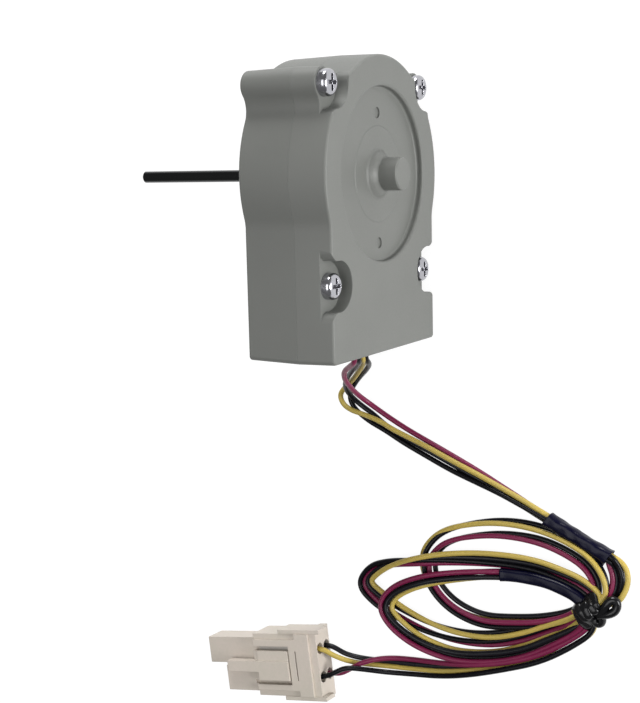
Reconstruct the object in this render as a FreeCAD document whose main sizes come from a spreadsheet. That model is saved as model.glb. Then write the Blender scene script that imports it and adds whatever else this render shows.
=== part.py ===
import FreeCAD, Part
import math
import os

from FreeCAD import Placement, Rotation, Vector
from Sketcher import Constraint

# Evaporator fan motor: a flat brushless motor in a moulded two part housing, with
# four leads, a tied coil of spare lead and a plug.
#
# Every piece of the motor is drawn with its shaft along +Z, the round end of the
# housing towards +X and the zero of Z where the free shaft leaves the rear boss.
# LYING then turns the motor on its side, with the shaft along +Y, resting on its
# drum and on one corner of its box. The leads, coil and plug lie on the same table.

SIZES = [
    ("drum_radius", 28.25),
    ("box_inset", 2.05),
    ("box_drop", 42.8),
    ("corner_round", 1.0),
    ("housing_depth", 23.3),
    ("front_depth", 9.8),
    ("draft", 1.2),
    ("wall", 2.0),
    ("edge_round", 0.6),
    ("boss_radius", 3.8),
    ("neck_round", 5.0),
    ("crease_round", 8.0),
    ("screw_reach", 2.68),
    ("screw_up_share", 0.6757),
    ("screw_side_share", 0.7371),
    ("screw_rise", 18.1),
    ("pocket_radius", 5.9),
    ("pocket_depth", 3.3),
    ("pocket_lip", 2.4),
    ("pocket_wall", 1.2),
    ("pocket_back", 1.5),
    ("post_radius", 3.4),
    ("recess_rim", 7.55),
    ("recess_depth", 1.8),
    ("recess_round", 0.6),
    ("nub_radius", 3.9),
    ("nub_reach", 5.0),
    ("nub_wall", 1.2),
    ("nub_edge", 0.3),
    ("dome_radius", 5.4),
    ("dome_shoulder", 4.9),
    ("dome_fall", 0.5),
    ("dome_skirt", 6.2),
    ("disc_radius", 11.6),
    ("disc_rise", 0.15),
    ("support_radius", 2.0),
    ("support_inset", 9.8),
    ("dimple_radius", 1.3),
    ("dimple_up", 14.5),
    ("dimple_down", 16.4),
    ("dimple_depth", 0.4),
    ("boss_height", 7.0),
    ("rear_boss_radius", 6.0),
    ("rear_boss_foot", 9.0),
    ("rear_boss_slope", 2.45),
    ("shaft_radius", 1.5),
    ("shaft_free", 41.0),
    ("shaft_chamfer", 0.35),
    ("shaft_clearance", 0.3),
    ("groove_radius", 1.15),
    ("groove_width", 0.6),
    ("ring_recess", 1.0),
    ("ring_recess_radius", 2.9),
    ("ring_radius", 2.5),
    ("ring_mouth", 1.6),
    ("running_gap", 0.03),
    ("bearing_radius", 4.0),
    ("bearing_length", 4.4),
    ("bearing_floor", 1.4),
    ("clip_thickness", 0.6),
    ("clip_bore", 2.6),
    ("washer_thickness", 0.4),
    ("nose_radius", 2.3),
    ("end_play", 0.05),
    ("fit_gap", 0.05),
    ("thrust_pad", 0.8),
    ("pad_radius", 2.1),
    ("magnet_overhang", 1.0),
    ("hub_step", 2.0),
    ("hub_lip", 1.2),
    ("hub_shoulder", 3.8),
    ("air_gap", 0.4),
    ("stator_gap", 0.45),
    ("stack_room", 15.3),
    ("winding_room", 3.6),
    ("ledge_width", 1.4),
    ("yoke_width", 3.2),
    ("tooth_width", 5.5),
    ("tooth_length", 8.2),
    ("shoe_spread", 0.86),
    ("shoe_depth", 1.8),
    ("shoe_flare", 0.8),
    ("insulator_thickness", 1.2),
    ("insulator_margin", 0.3),
    ("insulator_rim", 1.6),
    ("coil_build", 2.6),
    ("coil_overhang", 1.6),
    ("coil_clearance", 0.9),
    ("board_thickness", 1.0),
    ("board_gap", 2.45),
    ("board_post_gap", 0.8),
    ("board_end_gap", 1.8),
    ("board_eye_gap", 1.6),
    ("board_clearance", 0.5),
    ("board_margin", 2.5),
    ("capacitor_radius", 3.15),
    ("capacitor_height", 8.0),
    ("capacitor_edge", 0.4),
    ("capacitor_side", 10.0),
    ("driver_side", 12.0),
    ("hall_inset", 2.7),
    ("pin_radius", 0.4),
    ("pin_inset", 0.7),
    ("screw_radius", 1.5),
    ("screw_length", 12.0),
    ("head_radius", 3.1),
    ("head_height", 2.5),
    ("head_round", 1.1),
    ("cross_half", 1.9),
    ("cross_arm", 0.9),
    ("cross_depth", 1.1),
    ("screw_relief", 0.5),
    ("screw_clearance", 0.2),
    ("wire", 1.4),
    ("lead_pitch", 1.5),
    ("lead_offset", 4.0),
    ("lead_inset", 3.5),
    ("lead_stub", 3.2),
    ("sleeve", 3.9),
    ("coil_height", 5.2),
    ("coil_round", 1.5),
    ("coil_sleeve", 3.2),
    ("tie_half", 2.4),
    ("tie_inner", 3.9),
    ("tie_outer", 6.6),
    ("tie_height", 6.6),
    ("tie_edge", 1.2),
    ("plug_length", 18.0),
    ("plug_width", 17.4),
    ("plug_height", 9.0),
    ("plug_wall", 1.1),
    ("collar_length", 4.4),
    ("band_width", 1.6),
    ("nose_root", 1.0),
    ("nose_wall", 1.3),
    ("latch_back", 2.1),
    ("latch_right", 4.0),
    ("latch_left", 4.2),
    ("latch_seam", 1.2),
    ("latch_arm", 1.9),
    ("latch_slit", 0.3),
    ("latch_strip", 2.0),
    ("latch_rise", 0.6),
    ("latch_sink", 1.8),
    ("latch_gap", 1.25),
    ("latch_reach", 9.0),
    ("bar_thickness", 2.2),
    ("bar_low", 1.2),
    ("bar_high", 8.2),
    ("arm_low", 2.4),
    ("arm_high", 8.6),
    ("arm_reach", 0.5),
    ("hook_low", 4.0),
    ("hook_reach", 3.6),
    ("entry_radius", 1.5),
    ("barrel_radius", 1.1),
    ("barrel_length", 5.0),
    ("wire_grip", 0.8),
    ("terminal_side", 2.2),
]


class Size(float):
    """A length or an angle that remembers the sheet formula it came from."""

    def __new__(cls, number, formula=None):
        size = float.__new__(cls, number)
        size.formula = formula or repr(float(number))
        return size

    def join(self, sign, other, number):
        return Size(number, f"({self.formula} {sign} {Size.of(other).formula})")

    @staticmethod
    def of(thing):
        return thing if isinstance(thing, Size) else Size(thing)

    def __add__(self, other):
        return self.join("+", other, float(self) + float(other))

    def __sub__(self, other):
        return self.join("-", other, float(self) - float(other))

    def __mul__(self, other):
        return self.join("*", other, float(self) * float(other))

    def __truediv__(self, other):
        return self.join("/", other, float(self) / float(other))

    def __neg__(self):
        return Size(-float(self), f"(0 - {self.formula})")

    __radd__ = __add__
    __rmul__ = __mul__

    def __rsub__(self, other):
        return Size.of(other) - self


doc = FreeCAD.newDocument("evaporator_fan_motor")
sheet = doc.addObject("Spreadsheet::Sheet", "Sizes")
for row, (alias, number) in enumerate(SIZES, 1):
    sheet.set(f"A{row}", alias)
    sheet.set(f"B{row}", str(number))
    sheet.setAlias(f"B{row}", alias)
doc.recompute()


def size(alias):
    return Size(sheet.get(alias), f"Sizes.{alias}")


def bind(thing, name, value):
    """Sets a property to a number, and ties it to the sheet where it has a formula."""
    value = Size.of(value)
    if "Sizes." in value.formula:
        thing.setExpression(name, value.formula)
    return value


# How far a cutting tool goes past the face that it cuts, and how near counts as touching

PAST = 1.0
TOUCH = 1e-3


# Parametric building blocks

def new_body(name):
    return doc.addObject("PartDesign::Body", name)


def origin_feature(body, role):
    return next(one for one in body.Origin.OriginFeatures if one.Role == role)


def sketch_on(body, role="XY_Plane", lift=0.0):
    sketch = body.newObject("Sketcher::SketchObject", f"{body.Name}_sketch")
    sketch.AttachmentSupport = [(origin_feature(body, role), "")]
    sketch.MapMode = "FlatFace"
    sketch.AttachmentOffset = Placement(Vector(0, 0, float(lift)), Rotation())
    bind(sketch, "AttachmentOffset.Base.z", lift)
    return sketch


def fix(sketch, kind, index, point, value):
    """Holds one point of a sketch at a distance from its origin."""
    number = sketch.addConstraint(Constraint(kind, -1, 1, index, point, float(value)))
    bind(sketch, f"Constraints[{number}]", value)


def draw_polygon(sketch, corners):
    """A closed outline of straight lines through (x, y) corners."""
    first = sketch.GeometryCount
    count = len(corners)
    for here in range(count):
        start = corners[here]
        end = corners[(here + 1) % count]
        sketch.addGeometry(Part.LineSegment(Vector(float(start[0]), float(start[1]), 0),
                                            Vector(float(end[0]), float(end[1]), 0)))
    for here in range(count):
        after = (here + 1) % count
        sketch.addConstraint(Constraint("Coincident", first + here, 2, first + after, 1))
    for here, (x, y) in enumerate(corners):
        fix(sketch, "DistanceX", first + here, 1, x)
        fix(sketch, "DistanceY", first + here, 1, y)


def draw_box(sketch, x0, y0, x1, y1):
    draw_polygon(sketch, [(x0, y0), (x1, y0), (x1, y1), (x0, y1)])


def draw_circle(sketch, x, y, radius):
    index = sketch.addGeometry(
        Part.Circle(Vector(float(x), float(y), 0), Vector(0, 0, 1), float(radius)))
    number = sketch.addConstraint(Constraint("Radius", index, float(radius)))
    bind(sketch, f"Constraints[{number}]", radius)
    fix(sketch, "DistanceX", index, 3, x)
    fix(sketch, "DistanceY", index, 3, y)


def pad(body, sketch, length, taper=0.0, down=False):
    feature = body.newObject("PartDesign::Pad", f"{body.Name}_pad")
    feature.Profile = sketch
    feature.Length = float(length)
    bind(feature, "Length", length)
    feature.TaperAngle = float(taper)
    bind(feature, "TaperAngle", taper)
    feature.Reversed = down
    return feature


def pocket(body, sketch, depth, down=False):
    """Cuts upwards from its sketch, or downwards when told, and checks that it cut."""
    doc.recompute()
    before = body.Shape.Volume
    feature = body.newObject("PartDesign::Pocket", f"{body.Name}_pocket")
    feature.Profile = sketch
    feature.Length = float(depth)
    bind(feature, "Length", depth)
    feature.Reversed = not down
    doc.recompute()
    if body.Shape.Volume > before - 1e-6:
        raise RuntimeError(f"{feature.Name} cut nothing")
    return feature


def turn(body, sketch, cut=False):
    kind = "PartDesign::Groove" if cut else "PartDesign::Revolution"
    feature = body.newObject(kind, f"{body.Name}_turn")
    feature.Profile = sketch
    feature.ReferenceAxis = (sketch, ["V_Axis"])
    feature.Angle = 360
    return feature


def turned(name, outline):
    """A piece turned about the shaft axis from an outline of (radius, z) corners."""
    body = new_body(name)
    sketch = sketch_on(body, "XZ_Plane")
    draw_polygon(sketch, outline)
    turn(body, sketch)
    doc.recompute()
    return body


def ring(name, inner, outer, low, high):
    return turned(name, [(inner, low), (outer, low), (outer, high), (inner, high)])


def polar(body, feature, count):
    pattern = body.newObject("PartDesign::PolarPattern", f"{body.Name}_polar")
    pattern.Originals = [feature]
    pattern.Axis = (origin_feature(body, "Z_Axis"), [""])
    pattern.Angle = 360
    pattern.Occurrences = count
    body.Tip = pattern
    return pattern


def block(name, x0, x1, y0, y1, z0, z1):
    """A box between two corners."""
    box = doc.addObject("Part::Box", name)
    spans = (("Length", x0, x1), ("Width", y0, y1), ("Height", z0, z1))
    for side, low, high in spans:
        setattr(box, side, float(high) - float(low))
        bind(box, side, Size.of(high) - low)
    place_at(box, x0, y0, z0)
    return box


def place_at(thing, x, y, z):
    thing.Placement = Placement(Vector(float(x), float(y), float(z)), thing.Placement.Rotation)
    for axis, value in zip("xyz", (x, y, z)):
        bind(thing, f"Placement.Base.{axis}", value)


def rod(name, radius, low, high, x=0.0, y=0.0):
    """A cylinder along Z between two heights."""
    cylinder = doc.addObject("Part::Cylinder", name)
    cylinder.Radius = float(radius)
    bind(cylinder, "Radius", radius)
    cylinder.Height = float(high) - float(low)
    bind(cylinder, "Height", Size.of(high) - low)
    place_at(cylinder, x, y, low)
    return cylinder


def fused(name, pieces):
    join = doc.addObject("Part::MultiFuse", name)
    join.Shapes = pieces
    join.Refine = True
    return join


def cut(name, base, tools):
    difference = doc.addObject("Part::Cut", name)
    difference.Base = base
    difference.Tool = tools[0] if len(tools) == 1 else fused(f"{name}_tools", tools)
    difference.Refine = True
    return difference


def rounded(name, base, test, radius):
    """Rounds the edges that pass a test."""
    doc.recompute()
    fillet = doc.addObject("Part::Fillet", name)
    fillet.Base = base
    fillet.Edges = [(number, float(radius), float(radius))
                    for number in edges_where(base.Shape, test)]
    return fillet


def edges_where(shape, test):
    """The numbers of the edges whose middle point passes a test."""
    found = []
    for number, edge in enumerate(shape.Edges, 1):
        middle = edge.valueAt((edge.FirstParameter + edge.LastParameter) / 2)
        if test(edge, middle):
            found.append(number)
    return found


def rim_at(height):
    """Picks the round edges that lie at one height."""
    return lambda edge, middle: abs(middle.z - height) < TOUCH and edge.Closed


def is_level(edge, middle):
    return abs(edge.Vertexes[0].Z - edge.Vertexes[-1].Z) < TOUCH


def along(way):
    """Picks the straight edges that run along X or along Y."""
    return lambda edge, middle: abs(abs(edge.tangentAt(edge.FirstParameter).dot(way)) - 1) < TOUCH


# Radii and places seen along the shaft

box_half = size("drum_radius") - size("box_inset")
screw_up = (size("drum_radius") + size("screw_reach")) * size("screw_up_share")
screw_side = (size("drum_radius") + size("screw_reach")) * size("screw_side_share")
screw_down = size("box_drop") - size("screw_rise")
recess_radius = size("drum_radius") - size("recess_rim")
stator_radius = size("drum_radius") - size("wall") - size("stator_gap")
magnet_radius = (stator_radius - size("yoke_width") - size("air_gap")
                 - size("tooth_length"))
magnet_bore = magnet_radius / 2
board_radius = size("drum_radius") - size("wall") - size("board_gap")
board_half = screw_side - size("post_radius") - size("board_post_gap")
board_drop = size("box_drop") - size("wall") - size("board_end_gap")
beyond_stator = -(stator_radius + board_drop) / 2

# Heights along the shaft, from the free shaft's start at zero down to the front cover

rear_face = -size("boss_height")
front_face = rear_face - size("housing_depth")
parting = front_face + size("front_depth")
rear_depth = size("housing_depth") - size("front_depth")
rear_wall = rear_face - size("wall")
front_wall = front_face + size("wall")
recess_wall = front_wall + size("recess_depth")
pocket_floor = front_face + size("pocket_depth")
board_seat = pocket_floor + size("pocket_back")
board_back = board_seat + size("board_thickness")
nub_tip = front_face - size("nub_reach")
shaft_front = nub_tip + size("nub_wall") + size("thrust_pad")
front_seat = front_face + size("nub_wall")
front_bearing_end = front_seat + size("bearing_length")
front_collar = front_bearing_end + size("clip_thickness")
rear_seat = -size("ring_recess") - size("bearing_floor")
rear_bearing_end = rear_seat - size("bearing_length")
stator_rear = rear_wall - size("winding_room")
stator_front = stator_rear - (size("housing_depth") - size("stack_room"))
magnet_front = stator_front - size("magnet_overhang")
magnet_rear = stator_rear + size("magnet_overhang")
collar_radius = size("bearing_radius") + size("wall")
ledge_radius = stator_radius - size("ledge_width")
board_eye = collar_radius + size("board_eye_gap")
running_radius = size("shaft_radius") + size("running_gap")
SCREWS = [(screw_up, screw_side), (screw_up, -screw_side),
          (-screw_down, screw_side), (-screw_down, -screw_side)]


# Moulded housing

def neck_edges(shape):
    """The creases where the two upper bosses leave the drum."""
    reach = float(size("drum_radius"))
    beside = float(size("boss_radius"))

    def is_neck(edge, middle):
        from_boss = min(math.hypot(middle.x - x, middle.y - y) for x, y in SCREWS[:2])
        from_drum = abs(math.hypot(middle.x, middle.y) - reach)
        return not is_level(edge, middle) and from_boss < beside + 1 and from_drum < 1
    return edges_where(shape, is_neck)


def crease_edges(shape):
    """The two upright creases where the drum meets the sides of the box."""
    half = float(box_half)
    return edges_where(shape, lambda edge, middle: not is_level(edge, middle)
                       and abs(abs(middle.y) - half) < 1 and -half < middle.x < 0)


def face_edges(shape, height):
    return edges_where(shape, lambda edge, middle: is_level(edge, middle)
                       and abs(middle.z - height) < TOUCH)


def corner_edges(shape):
    """The two upright edges at the bottom of the box."""
    low = -0.9 * float(size("box_drop"))
    return edges_where(shape, lambda edge, middle: middle.x < low and not is_level(edge, middle))


def dress(body, edges, radius):
    base = body.Tip
    fillet = body.newObject("PartDesign::Fillet", f"{body.Name}_round")
    fillet.Base = (base, [f"Edge{number}" for number in edges])
    fillet.Radius = float(radius)
    bind(fillet, "Radius", radius)
    doc.recompute()


def moulded_block(name, depth, down):
    """The housing's outline, drafted away from the parting plane and still solid."""
    body = new_body(name)
    drum = sketch_on(body, lift=parting)
    draw_circle(drum, 0, 0, size("drum_radius"))
    pad(body, drum, depth, -size("draft"), down)
    box = sketch_on(body, lift=parting)
    draw_box(box, -size("box_drop"), -box_half, 0, box_half)
    pad(body, box, depth, -size("draft"), down)
    bosses = sketch_on(body, lift=parting)
    for x, y in SCREWS[:2]:
        draw_circle(bosses, x, y, size("boss_radius"))
    pad(body, bosses, depth, -size("draft"), down)
    doc.recompute()
    dress(body, neck_edges(body.Shape), size("neck_round"))
    dress(body, crease_edges(body.Shape), size("crease_round"))
    dress(body, corner_edges(body.Shape), size("corner_round"))
    far = parting - depth if down else parting + depth
    dress(body, face_edges(body.Shape, far), size("edge_round"))
    return body


def post_rods(name, radius, low, high, screws):
    return [rod(f"{name}_{number}", radius, low, high, x, y)
            for number, (x, y) in enumerate(screws, 1)]


def pocket_lean():
    """How far the drafted walls have leant in at the middle of the screw pockets."""
    fall = float(size("front_depth") - size("pocket_depth") / 2)
    return fall * math.tan(math.radians(size("draft")))


def side_mouth(name, x, y):
    """A lower pocket's opening in the side of the box, with a rounded lip above and below."""
    side = math.copysign(1, y)
    lip = float(size("pocket_lip"))
    pocket = float(size("pocket_radius"))
    wall = float(box_half) - pocket_lean()
    above = wall - lip - abs(y)
    reach = math.sqrt((pocket + lip) ** 2 - above ** 2)
    inner = side * (abs(y) + above * pocket / (pocket + lip))
    outer = side * (wall + 2 * PAST)
    gap = block(f"{name}_gap", x - reach, x + reach, min(inner, outer), max(inner, outer),
                front_face - PAST, pocket_floor)
    lips = [rod(f"{name}_lip_{way}", lip, front_face - 2 * PAST, pocket_floor + PAST,
                x + way * reach, side * (wall - lip)) for way in (-1, 1)]
    return cut(name, gap, lips)


def crossing(first, first_radius, second, second_radius):
    """The points where two circles cross."""
    first = Vector(*first, 0)
    between = Vector(*second, 0) - first
    along_line = (between.Length ** 2 + first_radius ** 2 - second_radius ** 2) / (
        2 * between.Length)
    off_line = math.sqrt(first_radius ** 2 - along_line ** 2)
    ahead = Vector(between).normalize()
    across = Vector(-ahead.y, ahead.x, 0)
    return [first + ahead * along_line + across * off_line * way for way in (-1, 1)]


def neck_lips(name, x, y):
    """The rounded lips of an upper pocket, where it runs out into the necks of its boss."""
    lean = pocket_lean()
    neck = float(size("neck_round"))
    lip = float(size("pocket_lip"))
    pocket = float(size("pocket_radius"))
    middle = (float(x), float(y))
    screw = Vector(*middle, 0)
    tools = []
    for way, centre in enumerate(crossing((0, 0), float(size("drum_radius")) - lean + neck,
                                          middle, float(size("boss_radius")) - lean + neck)):
        neck_middle = (centre.x, centre.y)
        turned_at = min(crossing(middle, pocket + lip, neck_middle, neck + lip),
                        key=lambda one: one.Length)
        corner = min(crossing(middle, pocket, neck_middle, neck), key=lambda one: one.Length)
        from_screw = screw + (turned_at - screw) * (pocket / (pocket + lip))
        from_neck = centre + (turned_at - centre) * (neck / (neck + lip))
        beyond = corner + (corner - turned_at).normalize() * PAST
        wedge = prism(f"{name}_wedge_{way}", [from_screw, turned_at, from_neck, beyond],
                      front_face - PAST, pocket_floor)
        tools.append(cut(f"{name}_{way}", wedge, [
            rod(f"{name}_round_{way}", lip, front_face - 2 * PAST, pocket_floor + PAST,
                turned_at.x, turned_at.y)]))
    return tools


def prism(name, corners, low, high):
    body = new_body(name)
    sketch = sketch_on(body, lift=low)
    draw_polygon(sketch, [(corner.x, corner.y) for corner in corners])
    pad(body, sketch, high - low)
    doc.recompute()
    return body


def cavity(name, low, high, seat_low, seat_high, extra):
    """The room inside one shell, less the stator's ledge, the lower posts and extras."""
    inner_drum = size("drum_radius") - size("wall")
    inner_half = box_half - size("wall")
    inner_drop = size("box_drop") - size("wall")
    room = fused(f"{name}_room", [
        rod(f"{name}_drum", inner_drum, low, high),
        block(f"{name}_box", -inner_drop, 0, -inner_half, inner_half, low, high)])
    beside_board = board_half + size("board_clearance")
    passage = block(f"{name}_passage", -inner_drop, -size("wall"), -beside_board, beside_board,
                    seat_low, seat_high)
    ledge = cut(f"{name}_ledge", rod(f"{name}_rim", inner_drum, seat_low, seat_high),
                [rod(f"{name}_eye", ledge_radius, seat_low, seat_high), passage])
    posts = post_rods(f"{name}_post", size("post_radius"), low, high, SCREWS[2:])
    return cut(f"{name}_cavity", room, [ledge] + posts + extra)


def lead_places():
    """Where each lead crosses the bottom of the box, as a list of Y values."""
    first = size("lead_offset") - size("lead_pitch") * 1.5
    return [first + size("lead_pitch") * number for number in range(4)]


def lead_holes(name):
    """Four holes side by side through the bottom wall, each half in one shell."""
    holes = []
    for number, y in enumerate(lead_places()):
        hole = rod(f"{name}_{number}", size("wire") / 2, 0, size("wall") * 3)
        hole.Placement = Placement(Vector(0, 0, 0), Rotation(Vector(0, 1, 0), 90))
        place_at(hole, -size("box_drop") - size("wall"), y, parting)
        holes.append(hole)
    return holes


def rear_boss():
    foot = size("rear_boss_foot")
    neck = size("rear_boss_radius")
    sunk = rear_face - size("wall") / 2
    return turned("rear_boss", [
        (0, sunk), (foot, sunk), (foot, rear_face),
        (neck, rear_face + size("rear_boss_slope")), (neck, 0), (0, 0)])


def rear_bore():
    """The bearing's pocket, the shaft's hole and the retaining ring's recess."""
    bearing = size("bearing_radius")
    hole = size("shaft_radius") + size("shaft_clearance")
    recess = -size("ring_recess")
    return turned("rear_bore", [
        (0, rear_wall - PAST), (bearing, rear_wall - PAST), (bearing, rear_seat),
        (hole, rear_seat), (hole, recess), (size("ring_recess_radius"), recess),
        (size("ring_recess_radius"), PAST), (0, PAST)])


def rear_shell():
    solid = moulded_block("rear_block", rear_depth, False)
    hollow = cut("rear_hollow", solid,
                 [cavity("rear", parting, rear_wall, stator_rear, rear_wall, [])])
    pilots = post_rods("rear_pilot", size("screw_radius"), parting - PAST,
                       pocket_floor + size("screw_length"), SCREWS)
    whole = fused("rear_whole", [hollow, rear_boss()])
    return cut("rear_cut", whole, [rear_bore()] + pilots + lead_holes("rear_hole"))


def front_nub():
    """The dome and nub on the cover, with the collar behind them that holds the bearing."""
    floor = front_face + size("recess_depth")
    dome = size("dome_radius")
    nub = size("nub_radius")
    edge = size("nub_edge")
    disc = size("disc_radius")
    raised = floor - size("disc_rise")
    return turned("front_nub", [
        (0, nub_tip), (nub - edge, nub_tip), (nub, nub_tip + edge), (nub, front_face - edge),
        (nub + edge, front_face), (size("dome_shoulder"), front_face + size("dome_fall")),
        (dome, front_face + size("dome_fall") * 2), (dome + edge, raised - edge),
        (size("dome_skirt"), raised), (disc - edge, raised), (disc, floor),
        (disc, recess_wall), (collar_radius, recess_wall),
        (collar_radius, front_collar), (0, front_collar)])


def front_bore():
    bearing = size("bearing_radius")
    pocket_end = nub_tip + size("nub_wall")
    return turned("front_bore", [
        (0, pocket_end), (size("pad_radius"), pocket_end), (size("pad_radius"), front_seat),
        (bearing, front_seat), (bearing, front_collar + PAST), (0, front_collar + PAST)])


def recess_edge(edge, middle):
    """Picks the recess's rim in the cover's face and the circle round its floor."""
    return edge.Closed and abs(math.hypot(middle.x, middle.y) - recess_radius) < TOUCH


def front_shell():
    solid = moulded_block("front_block", size("front_depth"), True)
    backs = post_rods("pocket_back", size("pocket_radius") + size("pocket_wall"), front_wall,
                      board_seat, SCREWS)
    backs.append(rod("recess_back", recess_radius + size("wall"), front_wall, recess_wall))
    support = board_radius - size("support_inset")
    backs += [rod(f"board_post_{side}", size("support_radius"), front_wall, board_seat,
                  support, side * support) for side in (-1, 1)]
    hollow = cut("front_hollow", solid,
                 [cavity("front", front_wall, parting, front_wall, stator_front, backs)])
    recess = rod("recess", recess_radius, front_face - PAST,
                 front_face + size("recess_depth"))
    pockets = post_rods("pocket", size("pocket_radius"), front_face - PAST, pocket_floor, SCREWS)
    for number, (x, y) in enumerate(SCREWS[2:]):
        pockets.append(side_mouth(f"side_mouth_{number}", x, y))
    for number, (x, y) in enumerate(SCREWS[:2]):
        pockets += neck_lips(f"neck_lip_{number}", x, y)
    dimples = [rod(f"dimple_{number}", size("dimple_radius"), front_face,
                   front_face + size("recess_depth") + size("dimple_depth"), x, 0)
               for number, x in enumerate((size("dimple_up"), -size("dimple_down")))]
    cleared = post_rods("front_clearance", size("screw_radius") + size("screw_clearance"),
                        pocket_floor - PAST, parting + PAST, SCREWS)
    plain = cut("front_plain", hollow, [recess] + pockets)
    soft = rounded("front_soft", plain, recess_edge, size("recess_round"))
    pitted = cut("front_pitted", fused("front_whole", [soft, front_nub()]), dimples)
    return cut("front_cut", pitted, [front_bore()] + cleared + lead_holes("front_hole"))


# Rotor: what turns with the shaft

def shaft():
    radius = size("shaft_radius")
    chamfer = size("shaft_chamfer")
    groove = size("groove_radius")
    tip = size("shaft_free")
    return turned("shaft_turned", [
        (0, shaft_front), (radius - chamfer, shaft_front), (radius, shaft_front + chamfer),
        (radius, -size("groove_width")), (groove, -size("groove_width")), (groove, 0),
        (radius, 0), (radius, tip - chamfer), (radius - chamfer, tip), (0, tip)])


def rotor_hub():
    nose = size("nose_radius")
    bore = magnet_bore
    flange = bore + size("hub_step")
    front = front_bearing_end + size("washer_thickness") + size("end_play")
    rear = rear_bearing_end - size("washer_thickness") - size("end_play")
    lip = magnet_front - size("hub_lip")
    return turned("hub_turned", [
        (size("shaft_radius"), front), (nose, front), (nose, lip), (flange, lip),
        (flange, magnet_front), (bore, magnet_front), (bore, magnet_rear),
        (size("hub_shoulder"), magnet_rear + size("hub_lip")), (nose, rear),
        (size("shaft_radius"), rear)])


def rotor_magnet():
    return ring("magnet_turned", magnet_bore, magnet_radius,
                magnet_front, magnet_rear)


def retaining_ring():
    """A snap ring in the shaft's groove, open on one side."""
    high = -size("end_play")
    low = high - size("groove_width") + size("end_play") * 2
    whole = ring("ring_turned", size("groove_radius"), size("ring_radius"), low, high)
    half = size("ring_mouth") / 2
    return cut("ring_open", whole, [block("ring_gap", 0, size("ring_radius") + PAST, -half, half,
                                          low - PAST, high + PAST)])


# What stands still round the rotor

TEETH = 6
DRIVER_CHIP = (5, 6, 1.5)
HALL_SENSOR = (3, 4, 1.1)
PIN_ANGLES = (150, 180, 210)


def star(name, low, high, bore, yoke_inner, yoke_outer, margin):
    """A ring with inward teeth, each ending in a wide shoe."""
    body = new_body(name)
    sketch = sketch_on(body, lift=low)
    draw_circle(sketch, 0, 0, yoke_outer)
    draw_circle(sketch, 0, 0, yoke_inner)
    pad(body, sketch, Size.of(high) - low)
    doc.recompute()
    tooth = sketch_on(body, lift=low)
    half = size("tooth_width") / 2 + margin
    inner = magnet_radius + size("air_gap")
    shoe = inner * size("shoe_spread") / 2
    outer = inner + size("shoe_depth")
    neck = outer + size("shoe_flare")
    root = yoke_inner + size("shoe_flare")
    draw_polygon(tooth, [(inner - PAST, -shoe), (outer, -shoe), (neck, -half), (root, -half),
                         (root, half), (neck, half), (outer, shoe), (inner - PAST, shoe)])
    polar(body, pad(body, tooth, Size.of(high) - low), TEETH)
    doc.recompute()
    opening = sketch_on(body, lift=low)
    draw_circle(opening, 0, 0, bore)
    pocket(body, opening, Size.of(high) - low)
    return body


def stator_core():
    bore = magnet_radius + size("air_gap")
    return star("core_star", stator_front, stator_rear, bore,
                stator_radius - size("yoke_width"), stator_radius, 0)


def insulator(name, low, high):
    bore = magnet_radius + size("air_gap") + size("insulator_margin")
    inner = stator_radius - size("yoke_width")
    return star(name, low, high, bore, inner, inner + size("insulator_rim"),
                size("insulator_margin"))


def stator_windings():
    """A coil round each tooth and its insulators."""
    half = size("tooth_width") / 2 + size("insulator_margin") + size("fit_gap")
    inner = (magnet_radius + size("air_gap") + size("shoe_depth")
             + size("coil_clearance"))
    outer = stator_radius - size("yoke_width") - size("coil_clearance")
    low = stator_front - size("insulator_thickness")
    high = stator_rear + size("insulator_thickness")
    build = size("coil_build")
    over = size("coil_overhang")
    coils = []
    for number in range(TEETH):
        whole = block(f"winding_{number}", inner, outer, -half - build, half + build,
                      low - over, high + over)
        whole = rounded(f"winding_round_{number}", whole, along(Vector(1, 0, 0)), over * 0.9)
        hole = block(f"winding_hole_{number}", inner - PAST, outer + PAST, -half, half, low, high)
        coil = cut(f"winding_cut_{number}", whole, [hole])
        coil.Placement = Placement(Vector(), Rotation(Vector(0, 0, 1), 360 * number / TEETH))
        coils.append(coil)
    return grouped("winding_group", coils)


def grouped(name, pieces):
    group = doc.addObject("Part::Compound", name)
    group.Links = pieces
    return group


def circuit_board():
    """A board shaped like the cover, with an eye for the bearing's collar."""
    disc = rod("board_disc", board_radius, board_seat, board_back)
    tongue = block("board_tongue", -board_drop, -board_eye, -board_half,
                   board_half, board_seat, board_back)
    whole = fused("board_whole", [disc, tongue])
    return cut("board_cut", whole, [rod("board_eye", board_eye, board_seat, board_back)])


def capacitor():
    top = board_back + size("capacitor_height")
    can = rod("capacitor_can", size("capacitor_radius"), board_back, top,
              beyond_stator, -size("capacitor_side"))
    return rounded("capacitor_round", can, rim_at(top), size("capacitor_edge"))


def chip(name, x, y, length, width, height):
    """A flat chip on the board, from its middle and its three sizes."""
    return block(name, x - length / 2, x + length / 2, y - width / 2, y + width / 2,
                 board_back, board_back + height)


def winding_pins():
    """Three pins that carry the coils' ends down to the board."""
    reach = stator_radius - size("yoke_width") + size("pin_inset")
    pins = []
    for number, angle in enumerate(PIN_ANGLES):
        x = reach * math.cos(math.radians(angle))
        y = reach * math.sin(math.radians(angle))
        pins.append(rod(f"winding_pin_{number}", size("pin_radius"), board_back,
                        stator_front - size("insulator_thickness"), x, y))
    return grouped("winding_pin_group", pins)


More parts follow.
